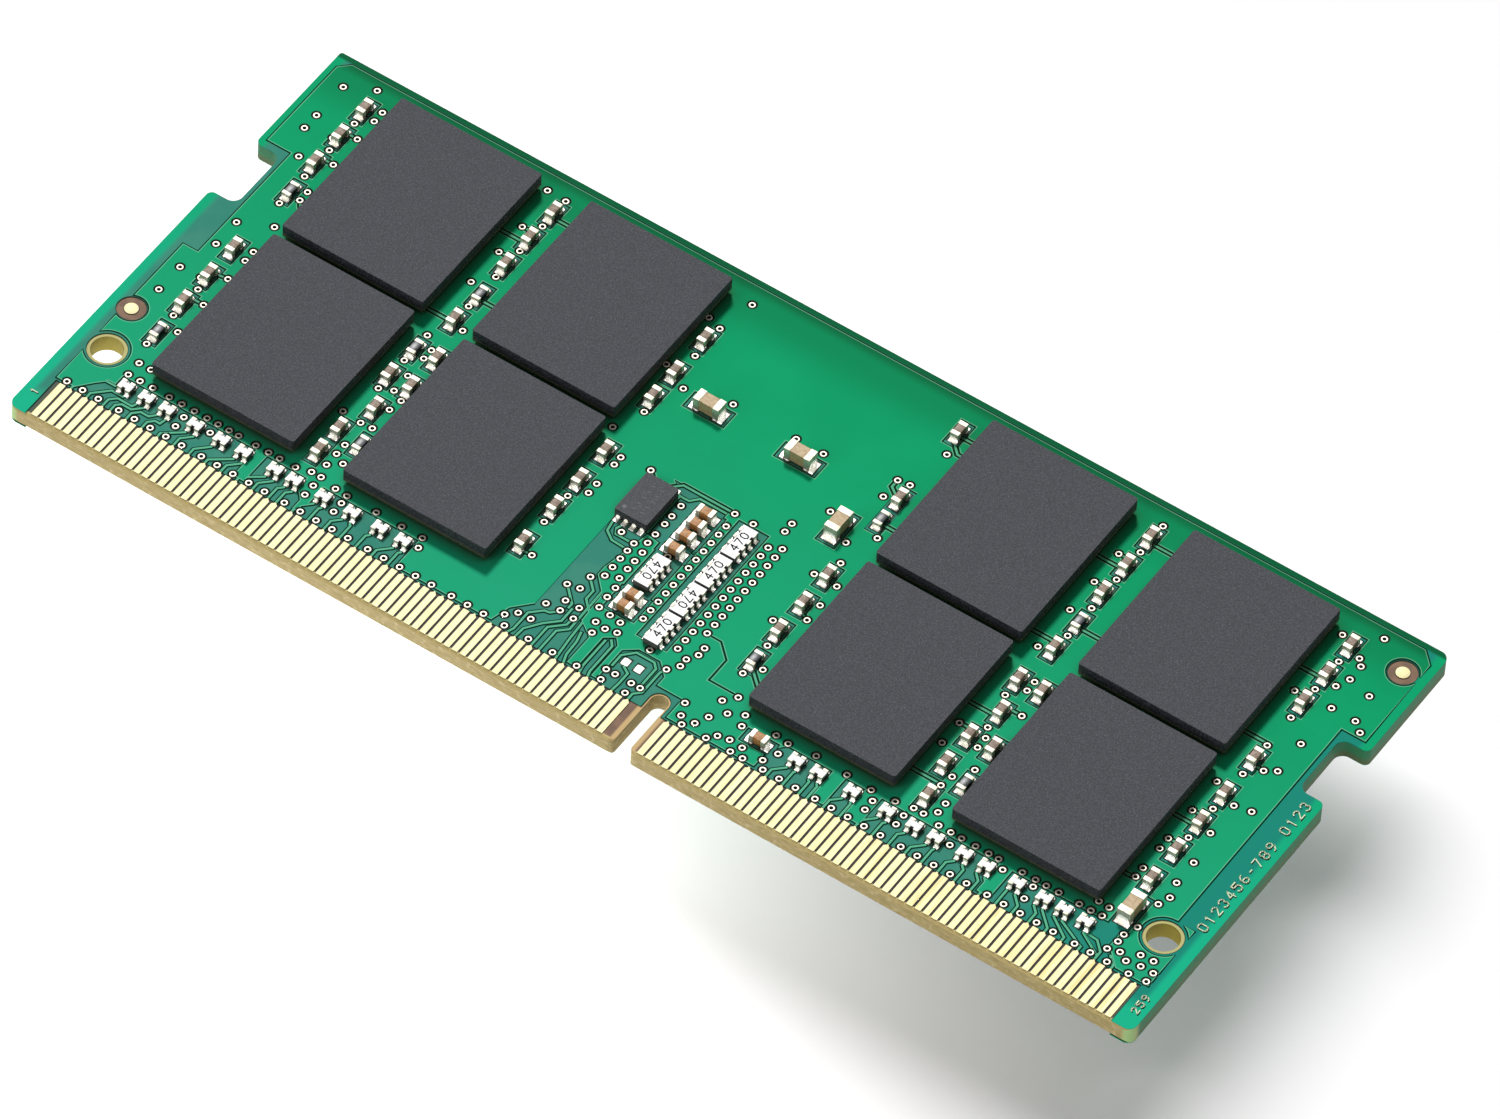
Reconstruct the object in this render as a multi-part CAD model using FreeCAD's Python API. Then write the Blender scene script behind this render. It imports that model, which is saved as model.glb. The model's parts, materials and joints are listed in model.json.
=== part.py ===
import FreeCAD, Part
import math
import os

# Small-outline memory module with 260 edge contacts and sixteen ball-grid memory chips.
# Lengths are millimetres. X runs along the contact edge, Y from the contact edge to the
# top edge, Z out of the front face. The origin is under the middle of the module, on the
# plane of the tops of the back chips.
# Places on the board are given as (x, up): x from the middle, up from the contact edge.

Vector = FreeCAD.Vector

# ---------------------------------------------------------------- driving dimensions
LENGTH = 69.6
HEIGHT = 30.0
LAMINATE_T = 1.10
COPPER_T = 0.035
MASK_ON_LAMINATE = 0.045
MASK_ON_COPPER = 0.070
SEAT = 0.080
CHIP_TOP = 1.150
MID_Z = LAMINATE_T / 2 + CHIP_TOP

CORNER_R = 0.5
NOTCH_LOW, NOTCH_HIGH, NOTCH_DEPTH = 18.05, 22.15, 1.65
NOTCH_R = 0.6
LIP_R = 0.35
KEY_X, KEY_R, KEY_TOP, KEY_MOUTH_R = 3.66, 0.5, 4.0, 0.35
TOOLING_X, TOOLING_UP, TOOLING_R = 32.8, 6.0, 0.9
EDGE_BEVEL = 0.12

PITCH = 0.5
CONTACT_W = 0.37
CONTACT_T = 0.045
CONTACT_LOW, CONTACT_TOP = 0.12, 2.66
LEFT_FIRST, LEFT_COUNT = -33.25, 72
RIGHT_FIRST, RIGHT_COUNT = 4.75, 58
CONTACT_CHAMFER = 0.09
HEAD_CONTACT_TOP = 2.71
WINDOW_LEFT, WINDOW_RIGHT, WINDOW_TOP = -33.7, 33.55, 2.74
BELOW_EDGE = 1.0

CHIP_W, CHIP_H = 9.0, 11.0
CHIP_XS = (-25.35, -13.25, 12.05, 24.5)
CHIP_UPS = (23.0, 11.3)
BALL_PITCH, BALL_R = 0.8, 0.2
BALL_COLUMNS = (-4, -3, -2, 2, 3, 4)
BALL_ROWS = range(-6, 7)
SUBSTRATE_LOW, SUBSTRATE_HIGH = 0.35, 0.53
DIE_W, DIE_H, DIE_T = 6.0, 8.4, 0.22

EEPROM_W, EEPROM_H, EEPROM_T = 2.0, 3.0, 0.55
LEAD_PITCH, LEAD_W, LEAD_LENGTH, LEAD_T = 0.5, 0.26, 0.42, 0.16
LEAD_PAD_REACH = 0.35
THERMAL_W, THERMAL_H = 1.4, 1.5

VIA_R, VIA_HOLE_R, VIA_OPENING_R, VIA_T = 0.2, 0.1, 0.27, 0.06
TRACK_W = 0.13
TRACK_END = 2.7
CLEARANCE = 0.11
PLATING = 0.02
JOINT_SIDE = 0.03
JOINT_TOE = 0.05
CHIP_JOINT_RISE, ARRAY_JOINT_RISE = 0.55, 0.6
OPENING_SIDE, OPENING_END = 0.07, 0.04
PART_GAP_SIDE, PART_GAP_END = 0.215, 0.265
SPARE_PAD_W, SPARE_PAD_H, SPARE_PAD_T = 0.42, 0.5, 0.11
FIDUCIAL_R, FIDUCIAL_OPENING_R, FIDUCIAL_GAP = 0.39, 0.8, 0.12
TOOLING_OPENING_R, TOOLING_GAP = 1.08, 0.2
KEY_RIM, KEY_GAP = 0.09, 0.35
LEGEND_T = 0.02
NEAR_ZERO = 1e-4

# ---------------------------------------------------------------- placement of small parts
# Decoupling capacitors stand upright in columns: each row is x, then the heights.
CAPACITORS = (
    (-31.4, (27.3, 25.05, 22.75, 15.4, 13.15, 10.85)),
    (-19.3, (27.3, 25.1, 22.9, 18.2)),
    (-19.9, (13.15, 8.6, 6.8)),
    (-19.2, (10.85,)),
    (-18.5, (15.45, 13.1)),
    (-8.0, (24.85, 22.05, 20.0)),
    (-7.9, (15.5, 13.15, 10.9, 8.0)),
    (6.2, (27.4, 21.85)),
    (6.05, (15.4, 13.15, 10.9)),
    (18.1, (27.4, 25.1, 22.85, 18.3)),
    (17.75, (15.5, 10.95, 8.75)),
    (18.2, (13.2, 6.45)),
    (19.2, (15.5, 10.95)),
    (30.35, (27.45, 25.15, 22.9, 18.3, 15.5, 13.2, 10.95, 8.65)),
)
RESISTORS = (
    (-31.3, (20.4, 8.45)),
    (-19.2, (20.4,)),
    (-19.85, (15.4,)),
    (-18.4, (8.4,)),
    (6.2, (20.15,)),
    (6.1, (8.6,)),
    (18.2, (20.5,)),
    (19.3, (8.2,)),
)
# Larger capacitors: x, up, quarter turns.
BULK_CAPACITORS = ((-5.2, 21.1, 1), (0.5, 21.1, 1), (4.65, 18.45, 0), (30.6, 6.4, 0))
# Flat capacitors of the centre block and the one beside the right contacts.
SUPPLY_CAPACITORS = (
    (-1.3, 15.05, 1), (-1.3, 14.15, 1), (-1.3, 13.2, 1), (-1.3, 12.15, 1), (-1.3, 8.35, 1), (-1.3, 7.5, 1),
    (9.25, 4.35, 1),
)
NETWORKS = ((-1.36, 10.2), (1.2, 14.4), (1.2, 12.05), (1.2, 9.7), (1.2, 7.35))
EEPROM_X, EEPROM_UP = -4.2, 13.85
SPARE_PADS = ((0.8, 4.7), (1.6, 4.7))
FIDUCIALS = ((-33.4, 9.0), (33.4, 27.65))

# Two-resistor arrays beside the contacts: x, then the contacts its two lower terminals feed.
ARRAY_UP = 4.37
SERIES_ARRAY_PITCH = 0.5
ARRAY_TRACK_TOP, ARRAY_TRACK_STUB, ARRAY_TRACK_DROP = 3.95, 0.15, 0.8
ARRAYS = (
    (-30.4, None, None), (-29.1, None, None), (-27.8, None, None),
    (-26.0, -27.25, -26.25), (-24.35, -25.25, None), (-22.95, -24.25, -23.25),
    (-20.95, -22.25, -21.25), (-19.75, -20.25, -19.75), (-17.9, -18.75, -17.75),
    (-16.1, -16.75, -15.75), (-14.35, -14.75, None), (-12.9, -13.75, -12.75),
    (11.55, 10.75, 11.75), (12.9, 12.75, 13.25), (14.95, 14.25, 15.25),
    (17.1, 16.25, 17.25), (18.75, 18.25, None), (20.05, 19.25, 20.25),
    (21.8, 21.25, 22.25), (23.15, 23.25, 23.75), (25.0, 24.75, 25.75),
    (26.65, 26.75, 27.75), (27.85, 28.75, 29.75), (29.15, None, 30.75),
)

# Plated holes, by the part of the board they serve: x, then the heights.
COLUMN_VIAS = (
    (-33.3, (28.05, 25.6, 24.5)), (-32.4, (22.7, 17.05, 15.2)), (-33.0, (12.8, 10.9)),
    (-31.7, (28.9, 24.8, 12.85)),
    (-31.35, (26.3, 24.0, 21.75, 19.45, 12.1, 9.9, 7.5)),
    (-30.6, (27.8, 27.05, 25.5, 23.3, 20.95, 20.25, 17.95)),
    (-30.5, (15.9, 15.15, 13.6, 11.4, 9.1)), (-30.9, (6.2, 5.24)), (-30.15, (6.2, 5.24)),
    (-20.5, (28.5, 9.8)), (-20.15, (25.65, 23.5, 20.95)),
    (-19.3, (28.45, 26.3, 24.2, 22.0, 19.5, 9.7)), (-19.9, (16.6, 14.5, 12.15)),
    (-19.15, (15.9, 15.2, 13.75, 12.5)), (-18.6, (17.95, 11.3, 9.75)), (-18.45, (12.15, 6.9)),
    (-19.1, (8.0, 7.25, 6.35)), (-17.8, (5.3,)),
    (-19.45, (5.5,)), (-18.85, (5.5, 4.8, 4.05)), (-17.0, (4.7, 4.0)),
    (-7.4, (28.35,)), (-8.75, (26.3, 22.35)), (-7.85, (26.0, 23.7, 19.0, 12.0, 9.85)),
    (-7.1, (21.5, 15.75, 15.15, 13.55, 12.8, 7.65)), (-8.6, (17.2,)),
    (-4.4, (22.15,)), (-0.45, (22.15,)), (1.25, (22.15,)), (3.7, (19.15,)), (5.5, (17.9,)),
    (5.35, (22.95, 21.6, 15.2, 11.4)), (6.05, (23.05, 16.6, 9.85, 7.6)),
    (6.75, (15.2, 13.65, 12.45, 8.4, 6.15)), (6.45, (25.9,)), (6.65, (19.1,)),
    (18.15, (28.5, 26.35, 24.1, 21.75, 19.5, 12.05)), (17.3, (25.6, 23.3, 21.0, 18.0)),
    (18.45, (15.95, 15.25, 11.4, 10.65, 8.3)), (17.7, (14.35,)), (19.15, (13.7, 9.35, 6.65, 5.95)),
    (16.8, (11.45, 9.85)), (18.3, (7.5,)), (18.0, (5.45,)), (18.6, (5.45,)), (17.85, (4.75, 4.05)),
    (29.55, (27.9, 23.35, 16.0, 13.7, 11.45, 10.65, 9.1, 8.4, 5.95, 5.3)),
    (30.35, (26.3, 24.05, 21.75, 19.5, 17.2, 14.4, 12.1)), (31.1, (27.1, 24.85, 18.0, 15.2, 13.0)),
    (31.45, (28.95, 26.7, 25.65, 10.9, 9.3, 7.6)), (31.7, (23.5, 20.6, 18.4, 8.3)), (32.05, (15.4,)),
    (32.85, (25.3,)), (33.15, (23.5,)), (33.75, (23.0,)), (31.4, (5.75,)), (31.1, (4.95, 4.4)),
    (30.9, (3.7,)), (31.55, (3.9,)), (32.1, (3.6,)), (32.5, (4.35,)), (33.25, (4.4,)),
    (32.9, (3.75,)), (33.65, (3.75, 3.1)),
)
CENTRE_VIAS = (
    (-5.35, (15.95,)), (-0.2, (16.1,)), (0.95, (16.1,)), (-4.25, (11.65,)), (-1.4, (11.7,)),
    (-2.75, (14.9, 14.05, 13.4, 12.55, 11.85)), (-2.6, (11.15, 10.45, 9.8, 9.05)),
    (-3.3, (11.4, 10.8, 10.15, 9.45, 8.75)), (-3.85, (8.25, 7.3, 5.5)), (-4.55, (7.15,)),
    (-2.4, (8.4, 7.65)), (-2.35, (6.85,)), (-1.6, (6.75,)), (-0.9, (6.65,)), (-4.0, (6.2,)),
    (-3.15, (6.2,)), (-3.0, (5.45,)), (-4.7, (5.45,)), (-1.95, (5.95,)), (-1.3, (5.85,)),
    (-0.65, (6.0,)), (-1.7, (5.25,)), (-5.5, (4.1,)), (-4.75, (4.15,)), (-6.0, (3.6,)),
    (0.25, (3.7,)), (0.8, (3.7,)), (1.8, (3.7,)), (2.35, (3.7,)), (2.55, (17.3, 16.65)),
    (1.35, (6.05,)), (2.75, (5.5,)), (3.2, (6.65, 6.1)), (3.55, (7.8, 7.25)),
)
RIGHT_CONTACT_VIAS = (
    (4.75, 4.25), (5.05, 3.45), (5.9, 3.45), (6.25, 4.2), (6.2, 5.5), (6.9, 4.95), (7.7, 5.4),
    (7.95, 4.7), (7.3, 3.45), (7.95, 3.6), (8.75, 3.55), (10.05, 3.5), (9.7, 5.25), (10.5, 5.15),
    (10.45, 4.3), (12.1, 5.35), (14.05, 5.25), (15.6, 5.15), (16.05, 4.6), (16.05, 3.9),
    (17.0, 5.25), (20.8, 4.55), (23.85, 4.8), (25.7, 4.8), (25.75, 3.9), (28.9, 6.0),
)
# Holes behind the arrays, hidden in part under the chips.
REAR_VIA_UP = 5.26
REAR_VIAS = (
    -29.35, -28.3, -27.5, -26.7, -25.9, -25.2, -24.5, -23.9, -22.8, -22.0, -21.3, -20.3,
    -17.05, -15.2, -13.6, -12.3, 19.65, 20.4, 21.05, 21.9, 22.7, 23.3, 24.75, 25.55, 26.2,
    26.95, 28.2, 28.9,
)
LOW_VIAS = ((-26.9, 4.6), (-26.9, 3.85), (-25.2, 4.55), (-12.1, 4.6))
# Holes at the heads of the contacts come in groups of five with one wider step between groups.
HEAD_VIA_UP = 2.99
HEAD_GROUP, HEAD_STEP = 5, 1.0
HEAD_SINGLES = (-33.2, -32.2, -31.2, -8.9, -7.9, -6.9, -5.6, -4.1, -2.6, -1.1, 0.4, 1.9,
                5.4, 6.9, 8.4, 9.15, 10.4, 11.4, 12.4, 29.4, 30.35, 31.35, 32.65)
HEAD_STARTS = (-29.9, -24.65, -19.4, -14.15, 13.6, 18.85, 24.1)
# The resistor networks stand between a row of holes on their left and two on their right.
NETWORK_VIAS = ((-0.1, 15.15, 12), (2.45, 15.25, 13), (3.1, 15.6, 11))
NETWORK_VIA_STEP = 0.69

# ---------------------------------------------------------------- copper of each face
POUR = (
    (-33.8, 2.9), (-33.8, 14.2), (-32.85, 14.2), (-32.85, 22.65), (-34.4, 22.65), (-34.4, 29.0),
    (-33.8, 29.6), (33.55, 29.6), (34.3, 28.85), (34.3, 22.65), (32.85, 22.65), (32.85, 7.2),
    (33.9, 7.2), (33.9, 2.9),
)
VOIDS = (
    ((-32.75, 2.8), (-31.5, 4.3), (-31.05, 4.3), (-31.05, 5.0), (-22.6, 5.0), (-22.6, 2.8)),
    ((-21.9, 2.8), (-21.9, 5.0), (-19.4, 5.0), (-19.4, 4.2), (-18.85, 3.6), (-18.85, 2.8)),
    ((-18.55, 2.8), (-18.55, 3.4), (-18.35, 3.7), (-18.35, 5.0), (-12.35, 5.0), (-12.35, 2.8)),
    ((-6.4, 2.8), (-6.05, 4.1), (-5.15, 5.1), (-5.15, 12.4), (-3.05, 12.4), (-3.65, 9.2),
     (-3.65, 8.6), (-2.7, 7.6), (-2.6, 5.6), (-1.65, 4.9), (-1.65, 2.8)),
    ((-1.05, 2.8), (-1.05, 5.3), (-0.5, 5.7), (-0.15, 5.3), (-0.15, 2.8)),
    ((0.2, 2.8), (0.2, 5.2), (0.9, 5.75), (2.2, 5.75), (2.95, 5.0), (2.95, 2.8)),
    ((-3.1, 12.3), (-3.1, 15.4), (-4.0, 16.15), (-0.5, 16.15), (-0.5, 12.0), (-1.0, 12.0)),
    ((-2.2, 6.95), (-2.2, 11.75), (-0.45, 11.75), (-0.45, 7.3), (-0.8, 6.95)),
    ((0.2, 6.45), (0.2, 15.9), (2.1, 15.9), (2.1, 6.45)),
    ((9.9, 2.8), (9.9, 4.2), (10.6, 5.0), (13.35, 5.0), (13.35, 2.8)),
    ((14.15, 2.8), (14.15, 5.0), (15.35, 5.0), (15.35, 2.8)),
    ((16.35, 2.8), (16.35, 5.0), (23.5, 5.0), (23.5, 2.8)),
    ((24.3, 2.8), (24.3, 5.0), (30.9, 5.2), (30.9, 3.9), (31.9, 2.9), (31.9, 2.8)),
)
# Tracks inside the voids.
TRACKS = (
    ((-31.0, 4.2), (-31.6, 4.2), (-32.75, 3.05), (-32.75, 2.7)),
    ((-30.15, 3.95), (-30.25, 3.85), (-30.95, 3.85), (-31.75, 3.05), (-31.75, 2.7)),
    ((-29.35, 3.95), (-29.5, 3.6), (-30.4, 3.6), (-30.75, 3.25), (-30.75, 2.7)),
    ((-28.85, 3.95), (-29.4, 3.4), (-30.0, 3.4), (-30.25, 3.15), (-30.25, 2.7)),
    ((-28.05, 3.95), (-28.4, 3.55), (-28.9, 3.55), (-29.25, 3.2), (-29.25, 2.7)),
    ((-27.55, 3.95), (-27.65, 3.5), (-27.95, 3.5), (-28.25, 3.2), (-28.25, 2.7)),
    ((-3.85, 5.4), (-4.2, 5.05), (-4.5, 5.0), (-5.1, 4.4), (-5.1, 3.1), (-5.25, 2.7)),
    ((-3.4, 5.9), (-3.4, 4.95), (-4.1, 4.25), (-4.7, 3.4), (-4.75, 2.7)),
    ((-3.0, 5.4), (-3.05, 4.9), (-3.75, 4.2), (-3.75, 2.7)),
    ((-3.5, 8.55), (-2.8, 7.85), (-2.75, 4.75), (-3.25, 4.25), (-3.25, 2.7)),
    ((-4.5, 7.1), (-3.6, 6.2), (-3.6, 5.9)),
    ((-3.85, 8.2), (-3.2, 7.55), (-3.2, 6.9), (-2.5, 6.2), (-2.4, 4.3), (-2.25, 2.7)),
    ((-2.15, 4.9), (-2.0, 4.3), (-1.95, 3.3), (-1.75, 2.7)),
    ((-0.85, 5.2), (-0.85, 3.2), (-0.75, 2.7)),
    ((-0.6, 5.4), (-0.35, 5.1), (-0.35, 3.1), (-0.25, 2.7)),
    ((0.35, 4.1), (0.35, 4.9), (0.9, 5.5), (2.0, 5.5), (2.3, 5.2), (2.3, 4.0)),
    ((2.7, 5.4), (2.6, 5.1), (2.6, 3.5), (2.25, 3.15), (2.25, 2.7)),
    ((0.9, 4.35), (1.3, 4.1), (1.3, 3.3), (1.25, 2.7)),
    ((-5.0, 11.9), (-4.9, 11.3), (-4.35, 10.9), (-3.4, 10.85)),
    ((-4.5, 11.95), (-4.6, 11.7), (-4.4, 11.35), (-3.4, 11.35)),
    ((-3.4, 15.4), (-2.6, 15.4), (-2.2, 15.85), (-0.6, 15.85)),
    ((29.45, 3.9), (30.2, 3.85), (30.75, 3.3), (30.75, 2.7)),
    ((31.3, 3.4), (31.75, 2.95), (31.75, 2.7)),
)
# Tracks that cross the copper area, each with a cleared gap on both sides.
CROSSING_TRACKS = (
    ((-20.1, 25.65), (-19.4, 25.65)), ((-20.2, 23.5), (-19.4, 23.5)), ((-18.9, 27.1), (-17.6, 27.1)),
    ((-20.9, 24.8), (-19.6, 24.8)), ((-20.9, 18.1), (-19.6, 18.1)), ((-18.9, 20.2), (-17.6, 20.2)),
    ((-30.6, 25.5), (-31.2, 25.5)), ((-30.6, 23.3), (-31.2, 23.3)), ((-30.6, 20.25), (-29.9, 19.4)),
    ((-30.5, 13.6), (-31.2, 13.5)), ((-30.5, 11.4), (-31.2, 11.4)),
    ((-8.75, 22.3), (-8.1, 22.3)), ((-7.1, 7.65), (-7.8, 7.6)),
    ((6.3, 26.8), (6.9, 26.2), (7.8, 26.2)), ((6.4, 27.3), (7.8, 27.3)), ((6.4, 20.0), (7.8, 20.0)),
    ((5.35, 22.95), (5.35, 22.4), (5.9, 22.0)), ((6.1, 8.3), (7.4, 7.1)),
    ((5.35, 11.4), (5.9, 11.4)), ((6.75, 12.45), (6.2, 12.7)),
    ((18.4, 27.15), (19.9, 27.15)), ((16.4, 24.85), (17.9, 24.85)), ((17.2, 25.6), (17.9, 25.6)),
    ((17.3, 23.3), (17.9, 23.3)), ((18.4, 20.25), (19.9, 20.25)), ((16.4, 18.75), (17.9, 18.75)),
    ((16.4, 12.9), (18.0, 12.9)), ((18.3, 13.7), (19.15, 13.7)), ((16.8, 11.45), (17.5, 11.45)),
    ((16.4, 7.55), (18.2, 7.55)), ((28.9, 24.85), (30.1, 24.85)), ((29.5, 23.35), (30.2, 23.35)),
    ((28.9, 19.6), (30.3, 19.6)), ((28.9, 12.95), (30.2, 12.95)), ((29.55, 13.7), (30.2, 13.7)),
    ((29.55, 11.45), (30.2, 11.45)), ((29.0, 8.3), (29.6, 8.3)), ((31.1, 18.0), (30.5, 18.0)),
    ((-5.35, 15.95), (-4.9, 15.5)), ((-3.9, 15.6), (-3.4, 16.1), (-0.3, 16.1)),
)
# Gaps that part the copper area with nothing laid in them.
PARTING_GAPS = (((3.1, 8.65), (4.0, 8.65), (4.9, 7.8), (4.9, 6.2), (6.7, 6.2)),)

# ---------------------------------------------------------------- numerals
# Strokes of each numeral on a cell 4 wide and 6 high.
STROKES = {
    "0": (((1, 0), (3, 0), (4, 1), (4, 5), (3, 6), (1, 6), (0, 5), (0, 1), (1, 0)),),
    "1": (((2, 0), (2, 6), (1, 5)),),
    "2": (((4, 0), (0, 0), (4, 4), (4, 5), (3, 6), (1, 6), (0, 5)),),
    "3": (((0, 1), (1, 0), (3, 0), (4, 1), (4, 2), (3, 3), (4, 4), (4, 5), (3, 6), (1, 6), (0, 5)),),
    "4": (((3, 0), (3, 6), (0, 2), (4, 2)),),
    "5": (((0, 1), (1, 0), (3, 0), (4, 1), (4, 3), (3, 4), (0, 4), (0, 6), (4, 6)),),
    "6": (((0, 3), (3, 3), (4, 2), (4, 1), (3, 0), (1, 0), (0, 1), (0, 4), (2, 6), (3, 6)),),
    "7": (((1, 0), (4, 6), (0, 6)),),
    "8": (((1, 3), (0, 2), (0, 1), (1, 0), (3, 0), (4, 1), (4, 2), (3, 3), (1, 3), (0, 4), (0, 5),
           (1, 6), (3, 6), (4, 5), (4, 4), (3, 3)),),
    "9": (((4, 3), (1, 3), (0, 4), (0, 5), (1, 6), (3, 6), (4, 5), (4, 2), (2, 0), (1, 0)),),
    "-": (((1, 3), (3, 3)),),
    " ": (),
}
STROKE_W = 0.07
EDGE_NUMBER = "0123456-789 0123"
EDGE_NUMBER_X, EDGE_NUMBER_UP = 34.35, 7.5
NUMERAL_H, NUMERAL_STEP = 0.52, 0.64
FIRST_PIN_PLACE, LAST_PIN_PLACE = (-34.0, 1.35), (34.4, 1.1)
PIN_NUMBER_SCALE = 0.75

# Parts that are the same few pieces on both faces share one node; the others get one a face.
SHARED_NODES = ("fiducials", "legend")

nodes = {}


def add(node, solids):
    nodes.setdefault(node, []).extend(solids)


# ---------------------------------------------------------------- flat outlines
def point(x, up, z=0.0):
    return Vector(x, up - HEIGHT / 2, z)


def polygon(points):
    ends = [point(x, up) for x, up in points]
    return Part.Face(Part.makePolygon(ends + ends[:1]))


def rectangle(x, up, width, height):
    return Part.makePlane(width, height, point(x - width / 2, up - height / 2))


def from_edge(left, right, top):
    """A rectangle that starts below the contact edge and ends at a height."""
    return rectangle((left + right) / 2, (top - BELOW_EDGE) / 2, right - left, top + BELOW_EDGE)


def disc(x, up, radius):
    return Part.Face(Part.Wire(Part.makeCircle(radius, point(x, up))))


def track(points, width):
    """A face that follows the points at one width, mitred at its bends, with square ends."""
    places = [Vector(x, up, 0) for x, up in points]
    runs = [(after - before).normalize() for before, after in zip(places, places[1:])]
    places[0] = places[0] - runs[0] * (width / 2)
    places[-1] = places[-1] + runs[-1] * (width / 2)
    left = []
    right = []
    for index, place in enumerate(places):
        before = runs[max(index - 1, 0)]
        after = runs[min(index, len(runs) - 1)]
        middle = (before + after).normalize()
        reach = width / 2 / middle.dot(after)
        side = Vector(-middle.y, middle.x, 0) * reach
        left.append(place + side)
        right.append(place - side)
    return polygon([(corner.x, corner.y) for corner in left + right[::-1]])


def rounded_outline(corners):
    """Closed face through (x, up, radius) corners, each rounded by its own radius."""
    count = len(corners)
    edges = []
    ends = []
    for index, (x, up, radius) in enumerate(corners):
        here = point(x, up)
        before = point(*corners[index - 1][:2]).sub(here).normalize()
        after = point(*corners[(index + 1) % count][:2]).sub(here).normalize()
        start = here + before * radius
        finish = here + after * radius
        inward = (before + after).normalize() * radius * (math.sqrt(2) - 1)
        ends.append((start, finish))
        edges.append(Part.Arc(start, here + inward, finish).toShape())
    for index in range(count):
        leave = ends[index][1]
        reach = ends[(index + 1) % count][0]
        if leave.distanceToPoint(reach) > NEAR_ZERO:
            edges.append(Part.LineSegment(leave, reach).toShape())
    return Part.Face(Part.Wire(Part.__sortEdges__(edges)))


def board_outline():
    half = LENGTH / 2
    inner = half - NOTCH_DEPTH
    key_left, key_right = KEY_X - KEY_R, KEY_X + KEY_R
    corners = (
        (-half, 0, CORNER_R), (key_left, 0, KEY_MOUTH_R), (key_left, KEY_TOP, KEY_R),
        (key_right, KEY_TOP, KEY_R), (key_right, 0, KEY_MOUTH_R),
        (half, 0, CORNER_R), (half, NOTCH_LOW, LIP_R),
        (inner, NOTCH_LOW, NOTCH_R), (inner, NOTCH_HIGH, NOTCH_R), (half, NOTCH_HIGH, LIP_R),
        (half, HEIGHT, CORNER_R), (-half, HEIGHT, CORNER_R / 3), (-half, NOTCH_HIGH, LIP_R),
        (-inner, NOTCH_HIGH, NOTCH_R), (-inner, NOTCH_LOW, NOTCH_R), (-half, NOTCH_LOW, LIP_R),
    )
    return rounded_outline(corners)


# ---------------------------------------------------------------- chip parts
def centred_box(width, height, low, high, x=0.0, y=0.0):
    return Part.makeBox(width, height, high - low, Vector(x - width / 2, y - height / 2, low))


def turned(shape, quarter_turns):
    copy = shape.copy()
    copy.rotate(Vector(0, 0, 0), Vector(0, 0, 1), 90 * quarter_turns)
    return copy


def at_place(shape, x, up, quarter_turns=0):
    copy = turned(shape, quarter_turns)
    copy.translate(point(x, up))
    return copy


def solder_joint(width, inner, end, outer, rise):
    """A pad from inner to outer along +Y, with a slope up the terminal's end face."""
    profile = ((inner, 0), (outer, 0), (outer, JOINT_TOE), (end, SEAT + rise), (end, SEAT), (inner, SEAT))
    wire = Part.makePolygon([Vector(-width / 2, y, z) for y, z in profile + profile[:1]])
    return Part.Face(wire).extrude(Vector(width, 0, 0))


class ChipPart:
    """A two-terminal part standing along Y: its body, terminals, joints, openings and clearance."""

    def __init__(self, length, width, thickness, band, pad_reach, name):
        top = SEAT + thickness
        end = length / 2
        outer = end + pad_reach
        self.name = name
        self.body = centred_box(width - 2 * PLATING, length - 2 * PLATING, SEAT + PLATING, top - PLATING)
        sleeve = centred_box(width, band, SEAT, top, 0, end - band / 2).cut(self.body)
        joint = solder_joint(width + 2 * JOINT_SIDE, end - band, end, outer, thickness * CHIP_JOINT_RISE)
        self.terminals = [sleeve, turned(sleeve, 2)]
        self.joints = [joint, turned(joint, 2)]
        reach = band + pad_reach
        opening_y = outer - reach / 2
        opening = (width + 2 * OPENING_SIDE, reach + 2 * OPENING_END)
        self.openings = [(0, side * opening_y) + opening for side in (1, -1)]
        self.clearance = (width + 2 * PART_GAP_SIDE, 2 * (outer + PART_GAP_END))


class ArrayPart:
    """Side-by-side resistors: a white body with count terminals on each long side, along X."""

    terminal_h = 0.16
    terminal_share = 0.56
    pad_reach = 0.14
    notch_depth = 0.14
    notch_share = 0.36

    def __init__(self, count, pitch, length, width, thickness, name):
        top = SEAT + thickness
        end = width / 2
        outer = end + self.pad_reach
        terminal_w = pitch * self.terminal_share
        self.name = name
        block = centred_box(length - 2 * PLATING, width - 2 * PLATING, SEAT + PLATING, top - PLATING)
        notch = (pitch * self.notch_share, 2 * self.notch_depth, 0, 2 * top)
        notches = []
        for gap in range(count - 1):
            x = (gap - (count - 2) / 2) * pitch
            notches += [centred_box(*notch, x, side * end) for side in (-1, 1)]
        self.body = block.cut(notches)
        self.terminals = []
        self.joints = []
        self.openings = []
        reach = self.terminal_h + self.pad_reach
        opening = (terminal_w + OPENING_SIDE, reach + OPENING_END)
        for index in range(count):
            x = (index - (count - 1) / 2) * pitch
            sleeve = centred_box(terminal_w, self.terminal_h, SEAT, top, x, end - self.terminal_h / 2)
            sleeve = sleeve.cut(block)
            joint = solder_joint(terminal_w, end - self.terminal_h, end, outer, thickness * ARRAY_JOINT_RISE)
            joint.translate(Vector(x, 0, 0))
            self.terminals += [sleeve, turned(sleeve, 2)]
            self.joints += [joint, turned(joint, 2)]
            self.openings += [(x, side * (outer - reach / 2)) + opening for side in (1, -1)]
        self.clearance = None


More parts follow.
